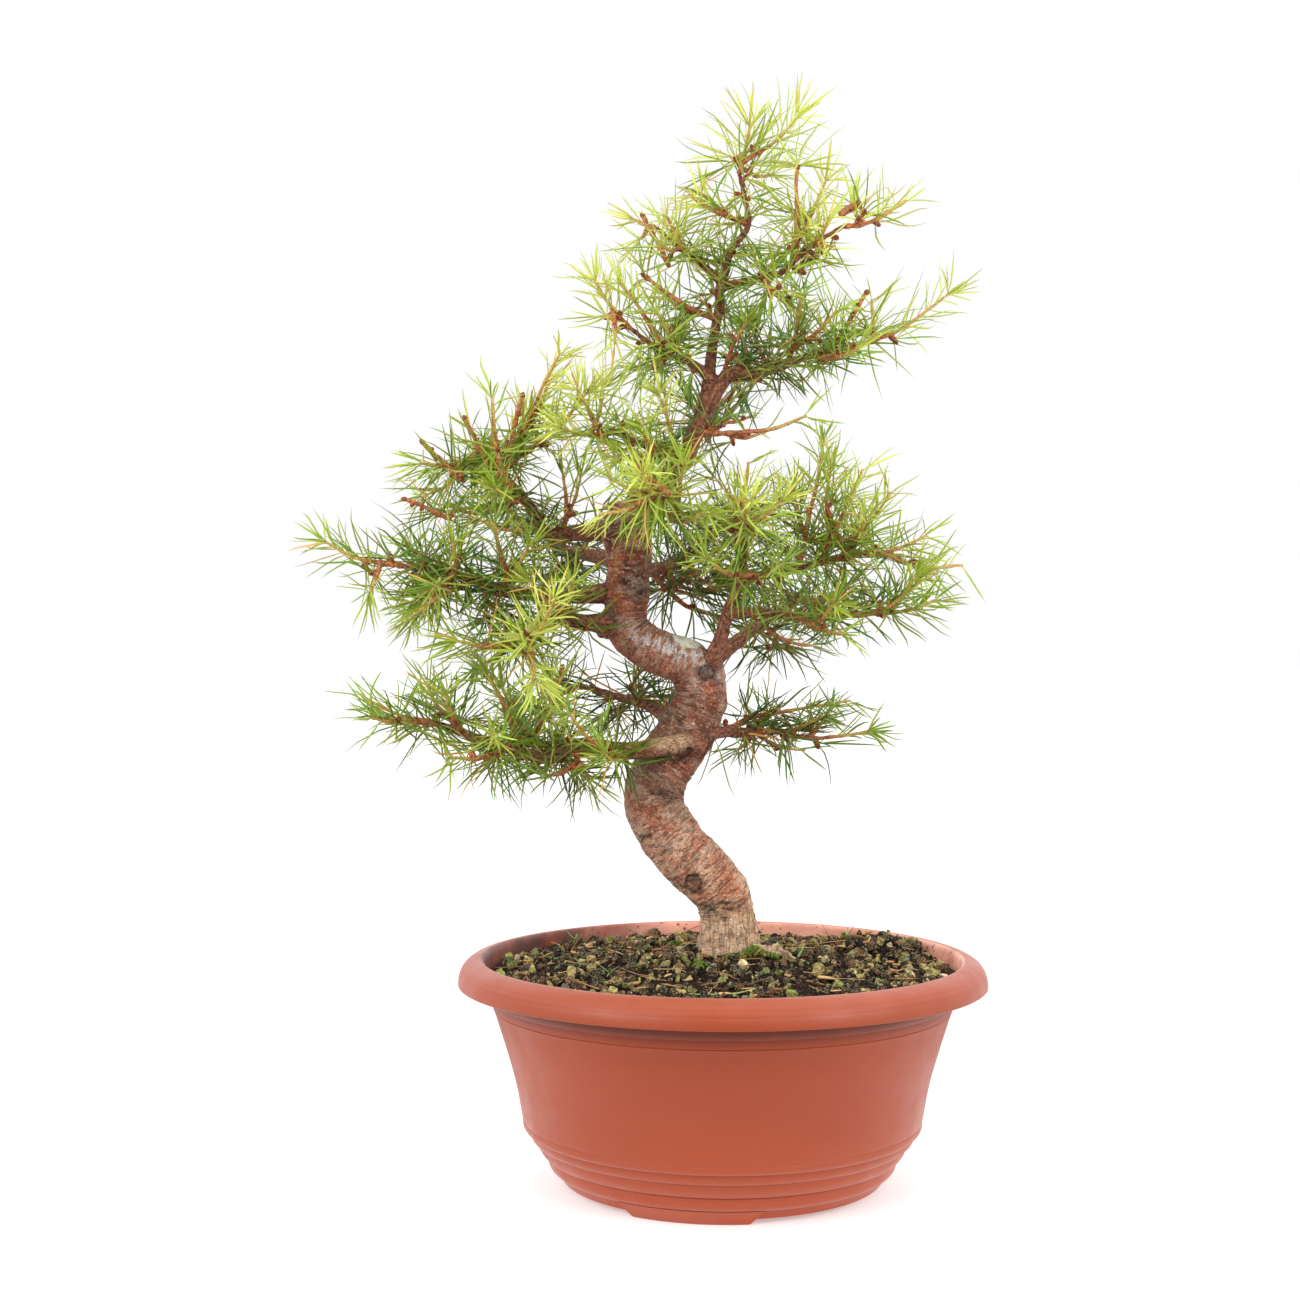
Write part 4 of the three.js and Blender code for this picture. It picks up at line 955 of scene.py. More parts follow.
def make_foot(turn):
    """One foot: a low block along the foot ring, with ends that slope out as they rise."""
    points = []
    for share in np.linspace(-1, 1, FOOT_STATIONS):
        for radius, height in FOOT_SECTION:
            half = FOOT_SPAN + FOOT_SPREAD * height
            angle = math.radians(turn + share * half)
            points.append((radius * math.sin(angle), -radius * math.cos(angle), height))
    size = len(FOOT_SECTION)
    faces = []
    for i in range(FOOT_STATIONS - 1):
        for k in range(size):
            n = (k + 1) % size
            a, b, c, d = i * size + k, i * size + n, (i + 1) * size + n, (i + 1) * size + k
            faces += [(a, b, c), (a, c, d)]
    last = (FOOT_STATIONS - 1) * size
    for k in range(1, size - 1):
        faces += [(0, k + 1, k), (last, last + k, last + k + 1)]
    mass = Mass()
    mass.add(np.array(points, float), np.array(faces))
    return mass.piece("foot", [], (False,))


def store_marks_and_painted_light(bowl):
    """What the bowl's colour is mixed with at each point. A pale powdery film and painted sheen: a little on
    what faces up, more on its inner wall. The inner wall is darker at the left, partly soil and partly
    painted shade, and splashed with soil all round. Painted shade darkens the wall just under the rim."""
    points, normals = points_of(bowl.data)
    outwards = unit(points * np.array([1, 1, 0]))
    inner = (((normals * outwards).sum(1) < -0.3) & (points[:, 2] > 60)).astype(float)
    left = ramp_up((outwards * SMEAR_AND_SHADE_SIDE).sum(1), 0.5, 0.95)
    height = points[:, 2]
    under_rim = (np.hypot(points[:, 0], points[:, 1]) < 138) * (1 - inner) * ramp_up(height, 122, 119)
    store(bowl.data, {
        # A pale powdery film and painted sheen, a little on what faces up and most on the inner wall.
        "dust_and_sheen": 0.1 * ramp_up(normals[:, 2], -0.2, 0.9) + 1.2 * inner * (1 - left),
        # Darker at the left of the inner wall: partly soil, partly painted shade.
        "smear_and_shade": inner * left * 0.9,
        "splashed": inner * 0.85,
        # Painted shade on the wall just under the rim.
        "painted_shade_under_rim": 0.85 * ramp_up(height, 100, 109) * under_rim,
    })


def make_bowl():
    bowl = turned("bowl", [(r * MM, z * MM) for r, z in bowl_profile()], BOWL_SIDES)
    bowl.location = AXIS
    bpy.ops.object.transform_apply(location=True)
    for turn in FOOT_TURNS:
        foot = make_foot(turn)
        shade(foot, 35)
        apply(bowl, "BOOLEAN", operation="UNION", object=foot, solver="EXACT")
        bpy.data.objects.remove(foot)
    for x, y in DRAINS:
        bpy.ops.object.select_all(action="DESELECT")
        spot = place((x, y, 6))
        bpy.ops.mesh.primitive_cylinder_add(
            vertices=32, radius=DRAIN_RADIUS, depth=DRAIN_CUT, location=spot
        )
        cutter = bpy.context.object
        apply(bowl, "BOOLEAN", operation="DIFFERENCE", object=cutter, solver="EXACT")
        bpy.data.objects.remove(cutter)
    shade(bowl, 32)
    bowl.data.materials.clear()
    bowl.data.materials.append(bowl_plastic())
    store_marks_and_painted_light(bowl)
    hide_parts("pot")
    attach(bowl, "root")


# ------------------------------------------------------------------------------ wood


def with_radii(line, radii):
    shares = np.linspace(0, 1, len(line))
    return [(*point, radii[0] + (radii[1] - radii[0]) * t) for point, t in zip(line, shares)]


def crooked(line, amount, seed):
    """The line, a little out of true, with both ends kept."""
    ends = np.sin(np.linspace(0, math.pi, len(line))) ** 0.5
    for row, share in zip(line, ends):
        shift = noise.noise_vector(Vector(row[:3]) / 22 + Vector((seed, 0, 0)))
        row[:3] += np.array(shift) * amount * share
    return line


def trunk_relief(line, angles):
    """Low ridges, and the buttresses of the roots at the foot."""
    height = line[:, 2:3]
    ridges = 0.03 * np.sin(3 * angles + height / 17) + 0.02 * np.sin(5 * angles - height / 9)
    flare = np.clip((152 - height) / 40, 0, 1) ** 1.5
    return 1 + ridges + 0.34 * flare * np.maximum(0, np.cos(5 * angles + 0.6))


def wood_lines():
    """The centre lines of all the wood, the trunk first, as (x, y, z, radius) rows in mm."""
    lines = [
        spline(TRUNK, np.linspace(0, 1, 150)),
        crooked(spline(LEADER, np.linspace(0, 1, 110)), 0.8, 3),
        spline(SURFACE_ROOT, np.linspace(0, 1, 20)) + [0, 0, ROOT_RAISED, 0],
    ]
    for seed, (radii, line) in enumerate(BRANCHES.values()):
        rows = spline(with_radii(line, radii), np.linspace(0, 1, 14 * (len(line) - 1)))
        rows = crooked(rows, 1.6, 10 + seed)
        way = np.linspace(0, length_of(rows), len(rows))
        rows[:, 3] *= 1 + 0.45 * np.exp(-way / 9)
        lines.append(rows)
    return lines


def make_wood():
    """The trunk, leader and branches, fused and given their bark."""
    lines = wood_lines()
    mass = Mass()
    mass.add(*tube(lines[0], 40, trunk_relief))
    for line in lines[1:]:
        mass.add(*tube(line, 14))
    knee = turned("knee", [(0, -14), (8, -12), (13, -6), (14.6, 0), (13, 6), (8, 12), (0, 14)], 20)
    points, faces = shape_of(knee)
    mass.add(points + KNEE_AT, faces)
    mass.add(points * STUB_SIZE + STUB_AT, faces)
    wood = mass.piece("larch_wood", [bark()])
    apply(wood, "REMESH", mode="VOXEL", voxel_size=VOXEL)
    apply(wood, "SMOOTH", factor=0.5, iterations=5)
    dress_bark(wood, lines)
    for polygon in wood.data.polygons:
        polygon.use_smooth = True
    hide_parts("wood")
    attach(wood, "root")


def along_wood(points, lines):
    """For each point, the centre line that it belongs to, its place across and along that line, and how
    much it lies inside a bend."""
    count = len(points)
    best = np.full(count, 1e9)
    grain = np.zeros((count, 3))
    owner = np.zeros(count, int)
    bend = np.zeros(count)
    for number, line in enumerate(lines):
        along, across, third = frames_along(line)
        steps = np.linalg.norm(np.diff(line[:, :3], axis=0), axis=1)
        way = np.concatenate([[0], np.cumsum(steps)])
        curve = np.gradient(along, way, axis=0)
        low = line[:, :3].min(0) - 25
        high = line[:, :3].max(0) + 25
        near = np.flatnonzero(((points > low) & (points < high)).all(1))
        gaps = np.linalg.norm(points[near, None] - line[None, :, :3], axis=2) - line[None, :, 3]
        nearest = gaps.argmin(1)
        gap = gaps[np.arange(len(near)), nearest]
        closer = gap < best[near]
        ids, at = near[closer], nearest[closer]
        best[ids] = gap[closer]
        owner[ids] = number
        arm = points[ids] - line[at, :3]
        grain[ids, 0] = (arm * across[at]).sum(1)
        grain[ids, 1] = (arm * third[at]).sum(1)
        grain[ids, 2] = way[at] + (arm * along[at]).sum(1) + 37 * number
        bend[ids] = (curve[at] * arm).sum(1)
    return owner, grain, bend


def dress_bark(wood, lines):
    """Raises the bark's relief, and stores what its material reads: the place along and across the wood,
    and how much of each kind of bark and mark there is."""
    mesh = wood.data
    points, normals = points_of(mesh)
    count = len(points)
    owner, grain, bend = along_wood(points, lines)
    height = points[:, 2]
    trunk = np.isin(owner, (0, 2)).astype(float)
    foot = trunk * ramp_up(height + 3 * np.sin(points[:, 0] / 4), 159, 148)
    crease = trunk * ramp_up(bend, 0.1, 0.45)
    middle = np.exp(-(((height - BLOOM_HEIGHT) / BLOOM_DEPTH) ** 2))
    up = normals[:, 2]
    bloom = trunk * middle * ramp_up(up, -0.3, 0.1) * ramp_up(up, 0.75, 0.45)
    bloom = np.maximum(bloom, 0.1 * trunk * ramp_up(up, 0.1, 0.8))
    algae = trunk * np.maximum(middle * ramp_up(up, 0.35, 0.7), 0.55 * ramp_up(up, 0.1, 0.5))
    raised = np.zeros(count)
    for i in range(count):
        a, b, s = grain[i]
        spot = Vector(points[i])
        if trunk[i]:
            lump = 1.1 * noise.noise(spot / 12) + 0.55 * noise.noise(spot / 4.6)
            fibre = 1 - abs(noise.noise(Vector((a / 2.1, b / 2.1, s / 15))))
            fold = noise.noise(Vector((a / 9, b / 9, s / 1.9)))
            rough = 0.34 * noise.noise(spot / 1.7)
            raised[i] = lump + foot[i] * (fibre**3 - 0.5) * 1.2 + fold * (0.25 + crease[i]) * 0.9 + rough
        else:
            furrow = noise.noise(Vector((a / 1.8, b / 1.8, s / 3.6)))
            raised[i] = 0.28 * furrow + 0.34 * noise.noise(spot / 2.4) + 0.2 * noise.noise(spot / 1.1)
    dark, stain_and_shade = np.zeros(count), np.zeros(count)
    for centre, radius, depth in KNOTS:
        away = away_from(points, centre, radius)
        near = away < 2
        away[near] *= 1 + 0.3 * noise_at(points[near], 3.4)
        raised += 1.2 * np.exp(-(((away - 0.95) * 4) ** 2)) - 1.6 * np.exp(-((away * 1.9) ** 2))
        ring = np.exp(-(((away - 0.85) * 6) ** 2)) + 0.8 * np.exp(-(((away - 0.42) * 9) ** 2))
        halo = depth * ramp_up(away, 1.5, 0.9)
        dark = np.maximum(dark, np.minimum(np.maximum(ring, halo), 1) * (away < 1.6))
    front = ramp_up(normals[:, 1], 0.1, -0.3)
    # Blotches of algae; the one under the low left branch is partly a painted shadow.
    for centre, size in BLOTCHES:
        away = away_from(points, centre, size)
        near = away < 2
        blotch = ramp_up(away[near] + 0.9 * noise_at(points[near], 2.2), 1.15, 0.55)
        stain_and_shade[near] = np.maximum(stain_and_shade[near], blotch * front[near])
    away = away_from(points, *CUT_PATCH)
    near = away < 2
    away[near] += 0.22 * noise_at(points[near], 4)
    sawn = ramp_up(away, 1.5, 0.9) * trunk
    mesh.attributes.new("grain", "FLOAT_VECTOR", "POINT").data.foreach_set("vector", (grain * MM).ravel())
    store(mesh, {
        "trunk": trunk, "foot": foot, "crease": crease, "bloom": bloom, "algae": algae, "dark": dark,
        "stain_and_shade": stain_and_shade, "pale": ramp_up(away, 1.06, 0.92) * trunk,
        "collar": ramp_up(away_from(points, *COLLAR), 1.2, 0.7),
    })
    points += normals * (raised * (1 - 0.85 * sawn))[:, None]
    mesh.vertices.foreach_set("co", place(points).ravel())
    mesh.update()


# ------------------------------------------------------------------------------ needles and twigs

NEEDLE = shape_of(turned("needle", [(0.6, 0), (1, 0.25), (0.97, 0.5), (0.74, 0.77), (0, 1)], 3))
SPUR = shape_of(turned("spur", [(1, 0), (1.25, 0.3), (0.95, 0.45), (1.2, 0.72), (0.7, 0.92), (0, 1)], 6))
BUD = shape_of(turned("bud", [(0.6, 0), (1, 0.3), (0.85, 0.65), (0.4, 0.9), (0, 1)], 6))
STRAW = shape_of(turned("straw", [(0.8, 0), (1, 0.2), (1, 0.4), (0.95, 0.6), (0.8, 0.8), (0, 1)], 4))
LOW, HIGH = ((np.array(corner) - AXIS) / MM for corner in solids_box)
REACH = (LOW - 0.5, HIGH + (0.5, 0.5, OVER_THE_TOP))  # the box that the needles keep within


class Spray:
    """One leafy spray: its twigs, spurs, buds and needles, gathered in mm."""

    def __init__(self, tone, draw, brighter, longer, missing):
        self.tone, self.fresh, self.whorl = TONES[tone]
        self.tone += brighter
        self.longer, self.missing = longer, missing
        self.draw = draw
        self.mass = Mass()
        self.rows = []  # the needles: root, direction, length, bend, tone and how cool their green is

    def knob(self, shape, root, axis, radius, tall, bud):
        """A spur or a bud, standing on the twig."""
        axes = axes_of(axis[None], self.draw.uniform(0, 6, 1), radius, 1, tall)
        none = np.zeros(1)
        values = {"tone": none, "cool": none, "fresh": none, "bud": np.full(1, bud)}
        set_out(self.mass, shape, root[None], axes, 1, **values)

    def needles(self, root, axis, count, spread, lengths, tone, curl=0.1):
        """Needles from one place, leaning away from the axis by the angles of spread."""
        draw = self.draw
        side, third = across_axes(axis[None], np.zeros(1))
        lean = np.radians(spread[0] + (spread[1] - spread[0]) * draw.random(count) ** 0.7)[:, None]
        turn = (np.arange(count) * GOLDEN_TURN + draw.random(count) * 0.9)[:, None]
        ring = side * np.cos(turn) + third * np.sin(turn)
        out = axis * np.cos(lean) + ring * np.sin(lean)
        length = draw.uniform(*lengths, count) * self.longer
        bend = unit(draw.normal(size=(count, 3))) * draw.gamma(2, curl / 2, count)[:, None]
        bend = bend + axis * draw.uniform(-0.2, 0.12, count)[:, None] - np.array([0, 0, 0.05])
        bend = bend - out * (bend * out).sum(1, keepdims=True)
        shade = tone + draw.normal(0, 0.085, count)
        cool = np.full(count, draw.random() ** 2) * draw.uniform(0.4, 1.1, count)
        self.rows.append((root + ring * NEEDLE_RING, unit(out), length, bend, shade, cool))

    def whorl_at(self, root, axis, tone):
        """A short spur with its whorl of long needles and, on most, the bud in its middle."""
        draw = self.draw
        radius, tall = draw.uniform(1.2, 1.7), draw.uniform(2, 3.8)
        self.knob(SPUR, root, axis, radius, tall, 0.35)
        tip = root + axis * tall * 0.8
        if draw.random() < BUD_SHARE:
            self.knob(BUD, tip, axis, draw.uniform(1.4, 1.9), draw.uniform(3, 4), 1)
        long, curl = (1.15, 0.5) if draw.random() < LONG_SHARE else (1, 0.26)
        lengths = (NEEDLE_LENGTH[0] * long, NEEDLE_LENGTH[1] * long)
        self.needles(tip, axis, draw.integers(*self.whorl), (24, 92), lengths, tone, curl)

    def twig(self, ends):
        """A twig with spurs on its old part, and single needles along this year's shoot."""
        line = self.bark_twig(ends)
        length = length_of(line)
        old = (1 - self.fresh) * length
        self.spurs(line, FIRST_ON_TWIG, old, self.tone)
        self.shoot(line, max(FIRST_ON_TWIG, old), length)

    def bark_twig(self, ends, fresh=None):
        """The wood of a twig, a little crooked and knobbly."""
        draw = self.draw
        size = float(np.linalg.norm(np.asarray(ends[-1][:3], float) - np.asarray(ends[0][:3], float)))
        rings = max(5, int(size / TWIG_STEP))
        line = crooked(spline(ends, np.linspace(0, 1, rings)), CROOKED, draw.random() * 9)
        line[:, 3] *= 1 + 0.14 * draw.normal(size=len(line)).clip(-1.5, 1.5)
        points, faces = tube(line, TWIG_SIDES)
        shares = np.append(np.repeat(np.linspace(0, 1, rings), TWIG_SIDES), [0, 1])
        old = 1 - (self.fresh if fresh is None else fresh)
        young = ramp_up(shares, old - 0.1, old + 0.12)
        self.mass.add(points, faces, 1, tone=0, share=0.5, dry=0, cool=0, fresh=young, bud=0)
        return line

    def bare_shoot(self, start, end, radius):
        """A shoot that ends in a bud, with needles on its lower half alone."""
        line = self.bark_twig([(*start, radius * 1.1), (*end, radius)], 0)
        axis = unit(line[-1, :3] - line[-2, :3])
        self.knob(BUD, line[-1, :3] - axis, axis, radius * 1.25, 3.6, 0.8)
        self.spurs(line, 2, 0.5 * length_of(line), self.tone, SPUR_SPACING_BARE)
        along, across, third = frames_along(line)
        for share in (0.62, 0.8):
            i = int(share * (len(line) - 1))
            turn = self.draw.uniform(0, 6.28)
            out = unit(across[i] * math.cos(turn) + third[i] * math.sin(turn) + along[i] * 0.4)
            self.knob(BUD, line[i, :3] + out * 0.6, out, 1.3, 2.6, 1)

    def bare_stem(self, rows):
        """A stout stem of old wood, with whorls along it and round the bud at its end."""
        line = self.bark_twig([(*row[:3], row[3] * 1.3) for row in rows], 0)
        self.spurs(line, 4, 0.7 * length_of(line), self.tone)
        self.whorl_at(line[-1, :3], unit(line[-1, :3] - line[-2, :3]), self.tone)

    def spurs(self, line, start, stop, tone, spacing=SPUR_SPACING):
        """Spurs with their whorls round a line, from start to stop along it."""
        draw = self.draw
        length = length_of(line)
        way = start + draw.uniform(0, 0.5) * spacing
        turn = draw.uniform(0, 6.28)
        along, across, third = frames_along(line)
        while way < stop:
            i = min(int(way / length * (len(line) - 1)), len(line) - 1)
            turn += GOLDEN_TURN + draw.uniform(-0.5, 0.5)
            out = across[i] * math.cos(turn) + third[i] * math.sin(turn) + np.array([0, 0, 0.25])
            axis = unit(out + along[i] * draw.uniform(0.15, 0.6))
            root = line[i, :3] + unit(out) * line[i, 3] * 0.6
            self.whorl_at(root, axis, tone + 0.2 * (way / length - 0.6) + draw.normal(0, 0.09))
            way += spacing * draw.uniform(0.75, 1.3)

    def shoot(self, line, start, stop):
        """Single needles round this year's shoot, shorter towards the tip, and the tuft at its end."""
        draw = self.draw
        along, across, third = frames_along(line)
        length = length_of(line)
        count = int((stop - start) * NEEDLES_A_MM)
        way = start + (np.arange(count) + draw.random(count)) / NEEDLES_A_MM
        i = np.minimum((way / length * (len(line) - 1)).astype(int), len(line) - 1)
        turn = (np.arange(count) * GOLDEN_TURN + draw.uniform(-0.3, 0.3, count))[:, None]
        out = across[i] * np.cos(turn) + third[i] * np.sin(turn)
        lean = np.radians(draw.uniform(30, 66, count))[:, None]
        direction = along[i] * np.cos(lean) + out * np.sin(lean)
        spot = (way - start) / max(stop - start, 1)
        size = draw.uniform(0.85, 1.15, count) * (SHOOT_LENGTH - SHORTER_AT_TIP * spot) * self.longer
        root = line[i, :3] + out * line[i, 3:4] * 0.5
        bend = along[i] * draw.uniform(-0.12, 0.25, count)[:, None] + draw.normal(0, 0.14, (count, 3))
        shade = self.tone + 0.06 + 0.18 * spot + draw.normal(0, 0.06, count)
        self.rows.append((root, direction, size, bend, shade, 0.3 * draw.random(count)))
        tip, axis = line[-1, :3], unit(line[-1, :3] - line[-2, :3])
        self.needles(tip, axis, draw.integers(12, 18), (4, 60), TUFT_LENGTH, self.tone + 0.2)

    def piece(self, name, node, slot, finishes):
        """The spray as one piece, its needles kept within reach of the solids."""
        draw = self.draw
        roots, out, length, bend, shade, cool = (np.concatenate(column) for column in zip(*self.rows))
        shade = shade + BRIGHTER_UP * (ramp_up(roots[:, 2], *CROWN) - 0.5)
        # Painted shade: needles further back are darker.
        shade = shade - PAINTED_SHADE_TO_BACK * ramp_up(roots[:, 1], *INSIDE)
        gone = draw.random(len(roots)) - self.missing
        middles = roots + out * length[:, None] * 0.6
        seen = (middles[:, (0, 2)] - EYE[:2]) * (EYE[2] / (EYE[2] + middles[:, 1:2])) + EYE[:2]
        for across, up, reach, missing in HOLLOWS:
            gone[np.linalg.norm(seen - (across, up), axis=1) < reach] -= missing
        for _ in range(8):
            tips = roots + (out + bend) * length[:, None]
            outside = ((tips < REACH[0]) | (tips > REACH[1])).any(1)
            length = np.where(outside, length * 0.85, length)
        count = len(roots)
        spin = draw.uniform(0, 6.28, count)
        width = NEEDLE_WIDTH * draw.uniform(0.8, 1.15, count)[:, None]
        axes = axes_of(out, spin, width, NEEDLE_FLAT, length[:, None])
        straw = draw.random(count) < STRAW_SHARE
        tone = np.where(straw, 1.0, shade.clip(0.02, 0.95))
        dry = (draw.random(count) < DRY_SHARE) * draw.uniform(0.2, 1, count)
        wave = draw.normal(0, NEEDLE_WAVE, (count, 3)) * length[:, None]
        kept = (length > LEAST_LENGTH) & (gone > 0)
        none = np.zeros(kept.sum())
        values = {"tone": tone[kept], "dry": dry[kept], "cool": cool[kept], "fresh": none, "bud": none}
        bend = bend * length[:, None]
        set_out(self.mass, NEEDLE, roots[kept], axes[kept], 0, bend[kept], wave[kept], **values)
        piece = self.mass.piece(name, finishes, (False, True))
        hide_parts(node)
        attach(piece, "root")


def twigs_of(line, at, tips):
    """The twigs of a spray as (x, y, z, radius) rows: a sagging line whose tip turns up, and its forks."""
    thick, thin = TWIG_RADII

    def between(start, end, shares):
        start, end = np.array(start, float), np.array(end, float)
        sag = 4 * TWIG_SAG * np.linalg.norm(end - start)
        rows = []
        for t in shares:
            spot = start + (end - start) * t - np.array([0, 0, sag * t * (1 - t)])
            rows.append((*spot, thick + (thin - thick) * t))
        return rows

    def short_of(start, tip):
        way = np.array(tip, float) - start
        return start + way * (1 - TIP_SHORT / np.linalg.norm(way))

    foot = spline(line, at)[0]
    stem = between(foot, short_of(foot, tips[0]), (0, 1 / 3, 2 / 3, 1))
    forks = []
    for share, tip in zip(FORK_AT, tips[1:]):
        foot = spline(stem, share)[0, :3]
        forks.append(between(foot, short_of(foot, tip), (0, 0.5, 1)))
    return [stem, *forks]


def make_sprays():
    """Each spray of each branch as a piece, with its own random draws."""
    finishes = [needle_green(), young_bark()]
    made = 0
    for branch, rows in SPRAYS.items():
        on_leader = branch == "leader"
        points = [row[:3] for row in LEADER] if on_leader else BRANCHES[branch][1]
        radii = LEADER_RADII if on_leader else BRANCHES[branch][0]
        wood = spline(with_radii(points, radii), np.linspace(0, 1, 90))
        size = length_of(wood)
        first = FIRST_SPUR.get(branch, USUAL_FIRST_SPUR)
        for number, (at, tone, tips) in enumerate(rows, 1):
            name = f"{branch}_{number}"
            draw = np.random.default_rng((SEED, FIRST_DRAW + made))
            spray = Spray(tone, draw, *HABITS.get(name, NO_HABIT))
            stem, *forks = twigs_of(points, at, tips)
            if name in BARE_STEMS:
                spray.bare_stem(stem)
            else:
                spray.twig(stem)
            forks += [with_radii(way, TWIG_RADII) for way in MORE_TWIGS.get(name, ())]
            for fork in forks:
                spray.twig(fork)
            # The spray also has the spurs of its branch that are nearer to it than to the sprays beside it.
            below = max((row[0] for row in rows if row[0] < at), default=None)
            above = min((row[0] for row in rows if row[0] > at), default=None)
            start = first if below is None else max(first, (below + at) / 2)
            stop = 1 if above is None else (above + at) / 2
            spray.spurs(wood, start * size, stop * size, spray.tone - DARKER_ON_WOOD, SPUR_SPACING_ON_WOOD)
            for foot, end, radius in BARE_SHOOTS.get(name, ()):
                spray.bare_shoot(foot, end, radius)
            spray.piece(f"shoots_{name}", f"spray_{name}", f"needles_{tone}", finishes)
            made += 1


# ------------------------------------------------------------------------------ soil and what lies on it


def make_grain(seed, cuts, roundness):
    """One rough grain, about 1 in radius."""
    bpy.ops.object.select_all(action="DESELECT")
    bpy.ops.mesh.primitive_cube_add(size=1.3)
    grain = bpy.context.object
    bpy.ops.object.mode_set(mode="EDIT")
    bpy.ops.mesh.select_all(action="SELECT")
    if cuts:
        bpy.ops.mesh.subdivide(number_cuts=cuts)
    bpy.ops.transform.tosphere(value=roundness)
    bpy.ops.transform.vertex_random(offset=0.27, seed=seed)
    bpy.ops.object.mode_set(mode="OBJECT")
    return shape_of(grain)


# The colours of the grains, each after its share.
STONE_COLOURS = [
    (0.15, paint(172, 154, 96)), (0.12, paint(136, 124, 70)), (0.08, paint(136, 150, 70)),
    (0.05, paint(118, 118, 98)), (0.06, paint(210, 190, 144)), (0.2, paint(96, 58, 40)),
    (0.2, paint(50, 34, 27)), (0.14, paint(30, 26, 26)),
]
CRUMB_COLOURS = [(0.45, paint(40, 26, 20)), (0.25, paint(68, 42, 31)), (0.3, paint(20, 16, 14))]


def ground_height(soil, x, y):
    """Height of the soil under a place in mm."""
    top = Vector(place((x, y, 200)))
    hit, spot, _, _ = soil.ray_cast(top, Vector((0, 0, -1)))
    return spot.z / MM if hit else SOIL_EDGE


def heaped(x, y):
    """How high the heap lies over the soil at a place in mm."""
    (a, b), reach, tall = HEAP
    return tall * max(0, 1 - ((x - a) ** 2 + (y - b) ** 2) / reach**2) ** 1.3


def clear_of_wood(x, y):
    """Whether a place is clear of the trunk and of the root that lies on the soil."""
    if math.hypot(x - TRUNK[0][0], y) < TRUNK_CLEAR:
        return False
    root = spline(SURFACE_ROOT, np.linspace(0, 1, 12))
    return all(math.hypot(x - a, y - b) > ROOT_CLEAR for a, b, _, _ in root)


def lay_grains(soil, draw, name, shapes, colours, layer, material):
    """A layer of grains of one kind over the soil. Where it is clumped, some patches have few."""
    step, sizes, rise, clumped = layer
    shares = np.array([share for share, _ in colours])
    paints = np.array([colour[:3] for _, colour in colours])
    spots = []
    for row in np.arange(-SOIL_RADIUS, SOIL_RADIUS, step * 0.87):
        for column in np.arange(-SOIL_RADIUS, SOIL_RADIUS, step):
            x, y = (column, row) + draw.uniform(-0.5, 0.5, 2) * step
            if math.hypot(x, y) > SOIL_RADIUS - 1.5 or not clear_of_wood(x, y):
                continue
            if draw.random() < clumped * ramp_up(noise.noise(Vector((x, y, 0)) / 11), -0.25, 0.3):
                continue
            ground, heap = ground_height(soil, x, y), heaped(x, y)
            deep = 1 if clumped else 1 + int(heap / 1.6)
            spots += [(x, y, ground + heap * (i + 1) / deep) for i in range(deep)]
    spots = np.array(spots)
    count = len(spots)
    size = sizes[0] + (sizes[1] - sizes[0]) * draw.random(count) ** 2.2
    spots[:, 2] += size * draw.uniform(*rise, count)
    kind = draw.integers(0, len(shapes), count)
    tint = paints[draw.choice(len(shares), count, p=shares / shares.sum())]
    tint = tint * draw.uniform(0.55, 1.35, (count, 1))
    out = unit(draw.normal(size=(count, 3)))
    spin = draw.uniform(0, 6, count)
    squash = draw.uniform(0.3, 1.15, (count, 2))
    axes = axes_of(out, spin, 1, squash[:, :1], squash[:, 1:]) * size[:, None, None]
    mass = Mass()
    for number, shape in enumerate(shapes):
        mine = kind == number
        pale = np.full(mine.sum(), 0.4 * clumped)
        set_out(mass, shape, spots[mine], axes[mine], tint=tint[mine].clip(0, 1), pale=pale)
    piece = mass.piece(name, [material], (False,))
    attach(piece, "root")


def lay_granules(soil, draw):
    """Dark crumbs all over, and on them the paler granules."""
    crumbs = [make_grain(seed, 0, 0.6) for seed in range(3)]
    stones = [make_grain(seed + 3, 1, 0.35) for seed in range(6)]
    material = granule_stone()
    lay_grains(soil, draw, "crumbs", crumbs, CRUMB_COLOURS, CRUMBS, material)
    lay_grains(soil, draw, "granules", stones, STONE_COLOURS, GRANULES, material)


